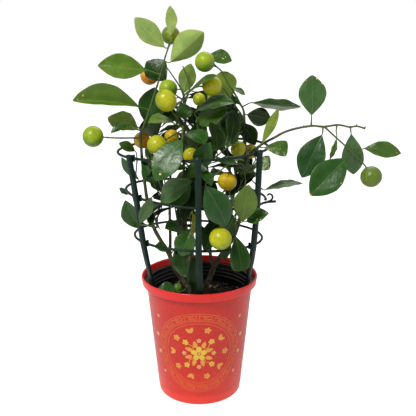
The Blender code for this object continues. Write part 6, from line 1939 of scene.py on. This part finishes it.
def ink_patch(outline, colour, middle=None):
    """A filled shape through (s, h) points, starred from its middle."""
    pts = [np.array(p, float) for p in outline]
    c = np.mean(pts, axis=0) if middle is None else np.array(middle, float)
    top = [ink.point(on_pot(*p), (0, 0), (*colour, 1.0)) for p in pts]
    low = [ink.point(on_pot(*p, -0.1), (0, 0), (*colour, 1.0)) for p in pts]
    ct, cl = ink.point(on_pot(*c), (0, 0), (*mixed(colour, CREAM, 0.3), 1.0)), ink.point(on_pot(*c, -0.1), (0, 0), (*colour, 1.0))
    n = len(pts)
    for k in range(n):
        j = (k + 1) % n
        ink.face((top[k], top[j], ct))
        ink.face((low[j], low[k], cl))
        ink.face((top[j], top[k], low[k], low[j]))


def polar(radius, degrees):
    a = math.radians(degrees)
    return np.array((radius * math.sin(a), radius * math.cos(a)))


def ring_line(radius, width, colour, start=0.0, end=360.0):
    n = max(8, int(abs(end - start) / 2.5))
    if end - start >= 360.0:
        ink_strip([polar(radius, start + 360.0 * k / n) for k in range(n)], width, colour, True)
    else:
        ink_strip([polar(radius, start + (end - start) * k / n) for k in range(n + 1)], width, colour)


def blossom(at, size, turn, colour, petals=5):
    """A round five-petalled blossom."""
    at = np.array(at, float)
    for k in range(petals):
        a = turn + 360.0 * k / petals
        c = at + polar(size * 0.56, a)
        shape = []
        for j in range(12):
            b = 30.0 * j
            r = size * 0.36 * (1.0 + 0.10 * math.cos(math.radians(b)))
            p = np.array((r * math.sin(math.radians(b)) * 0.92, r * math.cos(math.radians(b)) * 1.12))
            t = math.radians(-a)
            shape.append(c + np.array((p[0] * math.cos(t) - p[1] * math.sin(t), p[0] * math.sin(t) + p[1] * math.cos(t))))
        ink_patch(shape[::-1], colour)
    dot = [at + polar(size * 0.15, 45.0 * j) for j in range(8)]
    ink_patch(dot[::-1], CREAM)


def leaf_mark(at, size, turn, colour):
    shape = []
    t = math.radians(-turn)
    for j in range(14):
        b = 2 * math.pi * j / 14
        p = np.array((0.34 * size * math.sin(b) * (1 - 0.35 * math.cos(b)), 0.62 * size * math.cos(b)))
        shape.append(np.array(at) + np.array((p[0] * math.cos(t) - p[1] * math.sin(t), p[0] * math.sin(t) + p[1] * math.cos(t))))
    ink_patch(shape[::-1], colour)


# double rings with a key border between them
OUTER, KEY_OUT, KEY_IN, INNER = 61.0, 58.6, 52.2, 46.5
ring_line(KEY_IN - 2.1, 0.62, GOLD_LINE)
ring_line(INNER, 0.70, GOLD_LINE)
keys = 18
for k in range(keys):
    a0 = 360.0 * k / keys
    d = 360.0 / keys
    if abs((a0 + d / 2 + 180.0) % 360.0 - 180.0) > 180.0:
        continue
    steps = [(0.04, 0.0), (0.04, 1.0), (0.86, 1.0), (0.86, 0.30), (0.36, 0.30), (0.36, 0.62), (0.60, 0.62)]
    line = [polar(KEY_IN + (KEY_OUT - KEY_IN) * h, a0 + d * s) for s, h in steps]
    ink_strip(line, 0.78, GOLD_LINE)
    ink_strip([polar(KEY_IN, a0 + d * 0.10), polar(KEY_IN, a0 + d * 0.5), polar(KEY_IN, a0 + d * 1.0)], 0.6, GOLD_LINE)
ring_line(OUTER, 0.62, GOLD_LINE)
# blossoms and leaves in turn inside the inner ring
for k in range(10):
    a = 18.0 + 36.0 * k
    at = polar(37.5, a)
    if k % 2:
        leaf_mark(at + polar(1.9, a + 90), 7.4, a + 40, GOLD_LIGHT)
        leaf_mark(at - polar(1.9, a + 90), 7.4, a - 40, GOLD_LIGHT)
    else:
        blossom(at, 4.9, a, GOLD_LIGHT)
# the middle: one large blossom on a spray of leaves and buds
BRIGHT = (0.86, 0.62, 0.05)
blossom((0.0, 0.0), 11.5, 0.0, BRIGHT)
for k in range(4):
    a = 45.0 + 90.0 * k
    ink_strip([polar(10.5, a), polar(16.0, a + 9.0), polar(21.5, a - 3.0)], 0.9, BRIGHT)
    leaf_mark(polar(15.5, a - 19.0), 8.5, a - 28.0, GOLD_LIGHT)
    leaf_mark(polar(15.5, a + 25.0), 8.5, a + 32.0, GOLD_LIGHT)
    blossom(polar(25.0, a - 2.0), 4.4, a, BRIGHT)
for k in range(4):
    blossom(polar(20.5, 90.0 * k), 3.4, 90.0 * k, CREAM)
# small blossoms outside the crest, round the pot
for s, h, size in ((-66.0, 17.0, 3.4), (-64.0, -9.0, 3.2), (66.0, 17.0, 3.4), (64.0, -9.0, 3.2), (-60, 47, 2.6), (60, 47, 2.6), (-57, -38, 2.6), (57, -38, 2.6)):
    blossom((s, h), size, s * 3.0, CREAM)
half_round = math.pi * pot_radius(CREST_Z)
for i in range(3):
    for s0 in (88.0, 120.0, 152.0):
        for side in (-1, 1):
            blossom((side * (s0 + 8 * (i % 2)), 44.0 - 42.0 * i), 3.6, s0 * 2 + i * 20, GOLD_LIGHT)
add_object("pot_gold_print", ink.mesh("pot_gold_print"), [GOLD_INK], (), smooth=False)

# the black liner pot, ribbed inside near its top
sheet = Sheet()
inner_profile = [(0.0, 4.1), (liner_radius(4.1) - LINER_WALL, 4.1), (liner_radius(140.0) - LINER_WALL, 140.0)]
for ridge in (146.5, 152.0, 157.5):
    inner = liner_radius(ridge) - LINER_WALL
    inner_profile += [(inner + 0.15, ridge - 0.4), (inner - 0.9, ridge + 0.1), (inner - 0.95, ridge + 1.2), (inner + 0.2, ridge + 2.3)]
inner_profile += [
    (liner_radius(BAND_FOOT) - LINER_WALL, LINER_TOP - 0.5), (liner_radius(BAND_FOOT) - LINER_WALL + 0.5, LINER_TOP),
    (RIM_RADIUS - 4.9, LINER_TOP), (RIM_RADIUS - 4.7, LINER_TOP - 0.5), (RIM_RADIUS - 4.7, LINER_TOP - 1.5),
    (liner_radius(BAND_FOOT), LINER_TOP - 1.5), (liner_radius(90.0), 90.0), (liner_radius(2.4), 2.4), (0.0, 2.4)]
lathe(sheet, rounded(inner_profile, 0.5, 2), 128)
add_object("black_liner", joined_mesh(sheet, "black_liner"), [BLACK_PLASTIC], ("grower_pot",))

# soil: a lumpy top over a plain body
sheet = Sheet()
edge_radius = liner_radius(138.5) - LINER_WALL - 0.4
rows = []
rings, seg = 56, 150


def soil_height(x, y):
    r = math.hypot(x, y)
    z = SOIL_TOP + 1.5 - 5.0 * (r / edge_radius) ** 4
    z += 1.1 * (math.sin(x * 0.21 + 1.3) * math.cos(y * 0.17 - 0.4) + 0.5 * math.sin(x * 0.09 - y * 0.13))
    z += 1.3 * fbm(x, y, 1.0, 0.11, 3) + 0.75 * fbm(x, y, 9.0, 0.40, 3)
    for tx, ty, h, w in ((7.0, -6.0, 3.4, 9.0), (-14.0, -11.0, 3.0, 8.0)):
        z += h * math.exp(-((x - tx) ** 2 + (y - ty) ** 2) / w ** 2)
    return z


for i in range(rings + 1):
    r = edge_radius * (i / rings) ** 0.9
    row = []
    for k in range(seg + 1):
        a = 2 * math.pi * (k % seg) / seg
        x, y = r * math.cos(a), r * math.sin(a)
        moist = 0.5 + 0.5 * fbm(x, y, 4.0, 0.05, 2)
        colour = mixed((0.008, 0.006, 0.0045), (0.020, 0.015, 0.011), min(max(moist, 0.0), 1.0))
        row.append(sheet.point((x, y, soil_height(x, y)), (k / seg, i / rings), (*colour, 0.0)))
    rows.append(row)
for z in (120.0, 60.0, 6.0):
    r = liner_radius(z) - LINER_WALL - 0.4
    rows.append([sheet.point((r * math.cos(2 * math.pi * (k % seg) / seg), r * math.sin(2 * math.pi * (k % seg) / seg), z),
                             (k / seg, 1.2), (0.014, 0.010, 0.007, 0.0)) for k in range(seg + 1)])
for a, b in zip(rows, rows[1:]):
    for k in range(seg):
        sheet.face((a[k], b[k], b[k + 1], a[k + 1]), 0)
foot = sheet.point((0.0, 0.0, 4.6), (0.5, 0.5), (0.014, 0.010, 0.007, 0.0))
for k in range(seg):
    sheet.face((rows[-1][k + 1], rows[-1][k], foot), 0)
add_object("potting_mix", joined_mesh(sheet, "potting_mix"), [PEAT], ("soil",))

# crumbs of peat, bark chips, perlite and dry leaf bits lying on the soil
bit_rng = random.Random(31)
sheet = Sheet()


def add_bit(x, y, size, flat, colour, lift=0.0):
    c = np.array((x, y, soil_height(x, y) + size * flat * 0.25 + lift))
    q = Matrix.Rotation(bit_rng.uniform(0, 6.28), 3, Vector((bit_rng.uniform(-1, 1), bit_rng.uniform(-1, 1), bit_rng.uniform(0.4, 2))).normalized())
    long = bit_rng.uniform(0.75, 1.5)
    pts = []
    for dx, dy, dz in ((0, 0, 1), (1, 0, 0), (0.25, 0.95, 0.1), (-0.8, 0.6, -0.1), (-0.85, -0.55, 0.1), (0.3, -0.95, 0), (0, 0, -1)):
        v = Vector((dx * size * long, dy * size * 0.8, dz * size * flat)) * bit_rng.uniform(0.8, 1.15)
        v = q @ v if flat > 0.45 else Matrix.Rotation(bit_rng.uniform(-0.08, 0.08), 3, "X") @ (Matrix.Rotation(c[0], 3, "Z") @ v)
        shade = tuple(ch * bit_rng.uniform(0.85, 1.15) for ch in colour)
        pts.append(sheet.point(c + np.array(v), (0, 0), (*shade, 0.0)))
    for k in range(5):
        a, b = pts[1 + k], pts[1 + (k + 1) % 5]
        sheet.face((a, b, pts[0]))
        sheet.face((b, a, pts[6]))


for i in range(620):
    r, a = edge_radius * 0.97 * math.sqrt(bit_rng.random()), bit_rng.uniform(0, 6.283)
    x, y = r * math.cos(a), r * math.sin(a)
    kind = bit_rng.random()
    if kind < 0.62:
        add_bit(x, y, bit_rng.uniform(0.5, 1.7), bit_rng.uniform(0.6, 0.9), mixed((0.005, 0.004, 0.003), (0.022, 0.015, 0.010), bit_rng.random()))
    elif kind < 0.86:
        add_bit(x, y, bit_rng.uniform(0.9, 2.6), bit_rng.uniform(0.25, 0.5), mixed((0.025, 0.015, 0.009), (0.09, 0.055, 0.028), bit_rng.random()))
    elif kind < 0.95:
        add_bit(x, y, bit_rng.uniform(0.35, 0.85), bit_rng.uniform(0.7, 0.95), mixed((0.30, 0.29, 0.26), (0.62, 0.60, 0.55), bit_rng.random()))
    else:
        add_bit(x, y, bit_rng.uniform(1.4, 3.0), 0.16, mixed((0.22, 0.15, 0.06), (0.38, 0.26, 0.10), bit_rng.random()))
# a drift of pale bark between the trunks and the rim, at the front
for i in range(46):
    x, y = 13.0 + bit_rng.gauss(0, 7.5), 29.0 + bit_rng.gauss(0, 5.5)
    if math.hypot(x, y) < edge_radius * 0.95:
        add_bit(x, y, bit_rng.uniform(0.8, 2.2), bit_rng.uniform(0.3, 0.6), mixed((0.28, 0.16, 0.07), (0.74, 0.50, 0.26), bit_rng.random()), 0.3)
for i in range(50):
    x, y = 40.0 + bit_rng.gauss(0, 9.0), 40.0 + bit_rng.gauss(0, 9.0)
    if math.hypot(x, y) < edge_radius * 0.95:
        add_bit(x, y, bit_rng.uniform(0.3, 0.9), 0.8, mixed((0.12, 0.12, 0.11), (0.36, 0.36, 0.33), bit_rng.random()), 0.2)
add_object("soil_crumbs", sheet.mesh("soil_crumbs"), [BITS], (), smooth=False)

# ---------------------------------------------------------------- cage
def cage_material():
    mat, g = new_material("green_cage_plastic")
    pos = g.coord("Object")
    flow = g.noise(g.scaled(pos, (90.0, 90.0, 14.0)), 1.0, 3.0)
    fine = g.noise(g.scaled(pos, 1100.0), 1.0, 3.0)
    dust = g.noise(g.scaled(pos, 70.0), 1.0, 4.0, 0.6)
    colour = g.mix(g.ramp(flow, 0.3, 0.7), (0.0040, 0.0165, 0.0105), (0.0085, 0.0300, 0.0200))
    colour = g.mix(g.math("MULTIPLY", g.ramp(dust, 0.55, 0.8), 0.12), colour, (0.05, 0.065, 0.05))
    g.set("Base Color", colour)
    g.set("Roughness", g.ramp(dust, 0.35, 0.75, 0.42, 0.56))
    g.set("Specular IOR Level", 0.20)
    g.set("Normal", g.bump(g.math("ADD", fine, g.math("MULTIPLY", flow, 0.5)), 0.3, 0.0003))
    return mat


CAGE_PLASTIC = cage_material()
WHITE = (1.0, 1.0, 1.0, 0.0)

for ring in RINGS:
    sheet = Sheet()
    path = ring_path(ring, 120)[:-1]
    if ring == "middle":
        start = next(i for i in range(len(path)) if i * 3.0 >= 350.0)
        loop = path[start:] + path[:start]
        x, y, z, r = loop[-1]
        path = loop[:-3] + [(x + 4.5, y - 3.0, z - 0.5, r), (x + 9.0, y - 2.4, z - 0.4, r), (x + 14.0, y - 1.0, z - 0.3, r)]
        path[0] = tuple(np.array(path[0]) + np.array((-0.6, 4.0, 0.3, 0.0)))
        add_tube(sheet, [tuple(p) for p in smooth_path(path, 4.0)], 14, lambda s, i, k: WHITE)
        # the end curls up into a hook
        hook = [(x + 3.0, y - 2.4, z - 0.4, 1.5), (x + 7.5, y - 2.0, z + 1.5, 1.45), (x + 9.6, y - 2.0, z + 5.2, 1.4),
                (x + 8.4, y - 2.2, z + 9.0, 1.35), (x + 4.8, y - 2.4, z + 10.4, 1.3), (x + 2.4, y - 2.4, z + 8.2, 1.2)]
        add_tube(sheet, [tuple(p) for p in smooth_path(hook, 1.4)], 12, lambda s, i, k: WHITE)
    else:
        rows = []
        n = len(path)
        cx, cy = RINGS[ring][0], RINGS[ring][1]
        for i, p in enumerate(path):
            outward = unit(np.array((p[0] - cx, p[1] - cy, 0.0)))
            row = []
            for k in range(14):
                a = 2 * math.pi * k / 14
                q = vec(p) + p[3] * (outward * math.cos(a) + np.array((0, 0, 1.0)) * math.sin(a))
                row.append(sheet.point(q, (k / 14, i / n), WHITE))
            rows.append(row)
        for i in range(n):
            a, b = rows[i], rows[(i + 1) % n]
            for k in range(14):
                j = (k + 1) % 14
                sheet.face((a[j], b[j], b[k], a[k]))
    mesh = joined_mesh(sheet, "hoop_" + ring)
    add_object("hoop_" + ring, mesh, [CAGE_PLASTIC], ("cage_ring_" + ring,))

for name in STAKE_ANGLES:
    sheet = Sheet()
    coarse = stake_stations(name)
    stations = []
    for (c0, w0, d0, u0, s0), (c1, w1, d1, u1, s1) in zip(coarse, coarse[1:]):
        n = max(1, int(np.linalg.norm(c1 - c0) / 7.0))
        for k in range(n):
            t = k / n
            stations.append((c0 + (c1 - c0) * t, w0 + (w1 - w0) * t, d0 + (d1 - d0) * t, unit(u0 + (u1 - u0) * t), unit(s0 + (s1 - s0) * t)))
    stations.append(coarse[-1])
    rows = []
    for c, wide, deep, out, side in stations:
        z = c[2]
        # a channel section: rounded outer face with a rib, open on the inner side above the pot
        open_in = min(max((z - 188.0) / 8.0, 0.0), 1.0) * min(max((stake_top(name) - 5.0 - z) / 5.0, 0.0), 1.0)
        h, d = wide / 2, deep / 2
        wall = 1.7
        groove = (d * 2 - 1.5) * open_in
        loop = [(-h + 0.8, d), (-h * 0.45, d), (-h * 0.30, d + 0.35), (h * 0.30, d + 0.35), (h * 0.45, d), (h - 0.8, d),
                (h - 0.2, d - 0.2), (h, d - 0.8), (h, -d + 0.6), (h - 0.5, -d), (h - wall, -d),
                (h - wall - 0.2, -d + groove), (0.0, -d + groove), (-h + wall + 0.2, -d + groove),
                (-h + wall, -d), (-h + 0.5, -d), (-h, -d + 0.6), (-h, d - 0.8), (-h + 0.2, d - 0.2)]
        row = [sheet.point(c + side * s + out * o, (k / len(loop), z / 100.0), WHITE) for k, (s, o) in enumerate(loop)]
        rows.append(row)
    for a, b in zip(rows, rows[1:]):
        n = len(a)
        for k in range(n):
            j = (k + 1) % n
            sheet.face((a[k], b[k], b[j], a[j]))
    for row, flip in ((rows[0], False), (rows[-1], True)):
        sheet.face(row if flip is False else row[::-1])
    # at each ring a pair of lugs and a C-shaped clip hold the hoop
    a = math.radians(STAKE_ANGLES[name][1])
    out = np.array((math.cos(a), math.sin(a), 0.0))
    side = np.array((-math.sin(a), math.cos(a), 0.0))
    up = np.array((0.0, 0.0, 1.0))
    for ring in RINGS:
        reach, height = ring_at(ring, STAKE_ANGLES[name][1])
        c = out * reach + up * height
        for shift in (-1.35, 1.35):
            path = []
            for k in range(15):
                t = math.radians(35 + 290 * k / 14)
                path.append((*(c + side * shift * 1.0 + (out * math.cos(t) + up * math.sin(t)) * (RING_ROD + 1.0)), 0.85))
            add_tube(sheet, path, 10, lambda s, i, k: WHITE)
        for sign in (-1, 1):
            add_tube(sheet, [(*(c + up * sign * (RING_ROD + 1.55) + out * q), 1.25) for q in (-3.2, 0.0, 3.4, 5.0)], 10, lambda s, i, k: WHITE)
    bm_mesh = joined_mesh(sheet, "stake_" + name)
    obj = add_object("stake_" + name, bm_mesh, [CAGE_PLASTIC], ("cage_stake_" + name,), smooth=True)
# ---------------------------------------------------------------- floor, light and camera
def floor_material():
    mat, g = new_material("pale_floor")
    fine = g.noise(g.scaled(g.coord("Object"), 30.0), 1.0, 3.0)
    g.set("Base Color", g.mix(g.ramp(fine, 0.3, 0.7), (0.55, 0.55, 0.55), (0.60, 0.60, 0.60)))
    g.set("Roughness", 0.9)
    g.set("Specular IOR Level", 0.2)
    g.set("Emission Color", (1.0, 1.0, 1.0))
    seen = mat.node_tree.nodes.new("ShaderNodeLightPath").outputs["Is Camera Ray"]
    g.set("Emission Strength", g.mixf(seen, 0.22, 0.88))
    return mat


floor_mesh = bpy.data.meshes.new("floor")
floor_mesh.from_pydata([(-30, -30, -0.0004), (30, -30, -0.0004), (30, 30, -0.0004), (-30, 30, -0.0004)], [], [(0, 1, 2, 3)])
floor = bpy.data.objects.new("floor", floor_mesh)
floor_mesh.materials.append(floor_material())
scene.collection.objects.link(floor)

world = bpy.data.worlds.new("studio")
scene.world = world
world.use_nodes = True
sky = world.node_tree
sky.nodes.clear()


def sky_node(kind, **values):
    node = sky.nodes.new(kind)
    for key, value in values.items():
        setattr(node, key, value)
    return node


def sky_sum(operation, a, b):
    node = sky_node("ShaderNodeMath", operation=operation)
    for value, socket in zip((a, b), node.inputs):
        if isinstance(value, bpy.types.NodeSocket):
            sky.links.new(value, socket)
        else:
            socket.default_value = value
    return node.outputs[0]


# a white backdrop for the camera; the light on the tree is softer, from the sides and above
where = sky_node("ShaderNodeSeparateXYZ")
sky.links.new(sky_node("ShaderNodeTexCoord").outputs["Generated"], where.inputs[0])
aside = sky_sum("MULTIPLY", sky_sum("POWER", sky_sum("ABSOLUTE", where.outputs[0], 0.0), 1.6), 0.50)
above = sky_sum("MULTIPLY", sky_sum("MAXIMUM", where.outputs[2], 0.0), 0.30)
behind = sky_sum("MULTIPLY", sky_sum("MAXIMUM", where.outputs[1], 0.0), 0.22)
strength = sky_sum("ADD", sky_sum("ADD", aside, above), sky_sum("ADD", behind, 0.04))
soft, plain = sky_node("ShaderNodeBackground"), sky_node("ShaderNodeBackground")
sky.links.new(strength, soft.inputs[1])
plain.inputs[0].default_value = (1.0, 1.0, 1.0, 1.0)
soft.inputs[0].default_value = (1.0, 1.0, 1.0, 1.0)
either = sky_node("ShaderNodeMixShader")
sky.links.new(sky_node("ShaderNodeLightPath").outputs["Is Camera Ray"], either.inputs[0])
sky.links.new(soft.outputs[0], either.inputs[1])
sky.links.new(plain.outputs[0], either.inputs[2])
sky.links.new(either.outputs[0], sky_node("ShaderNodeOutputWorld").inputs[0])


def area_light(name, at, towards, size, power, colour=(1.0, 1.0, 1.0)):
    data = bpy.data.lights.new(name, "AREA")
    data.shape = "RECTANGLE"
    data.size, data.size_y = size
    data.energy = power
    data.color = colour
    obj = bpy.data.objects.new(name, data)
    scene.collection.objects.link(obj)
    obj.location = at
    obj.rotation_euler = (Vector(towards) - Vector(at)).to_track_quat("-Z", "Y").to_euler()
    return obj


area_light("key", (-0.75, -1.15, 1.75), (0.0, 0.0, 0.28), (0.50, 0.50), 31.0, (1.0, 0.985, 0.95))
area_light("fill_right", (1.5, -0.9, 0.8), (0.0, 0.0, 0.2), (0.8, 1.3), 2.5)
area_light("back_top", (0.3, 1.1, 1.7), (0.0, 0.0, 0.4), (1.2, 0.8), 9.0, (1.0, 0.99, 0.94))

camera_data = bpy.data.cameras.new("camera")
camera_data.sensor_width = 36.0
camera_data.lens = 630.0 / 416.0 * 36.0
camera_data.clip_start, camera_data.clip_end = 0.02, 100.0
camera = bpy.data.objects.new("camera", camera_data)
scene.collection.objects.link(camera)
camera.location = (0.0123, -0.85, 0.4873)
camera.rotation_euler = (math.radians(90.0 - 14.28), 0.0, 0.0)
scene.camera = camera
scene.view_settings.view_transform = "Standard"
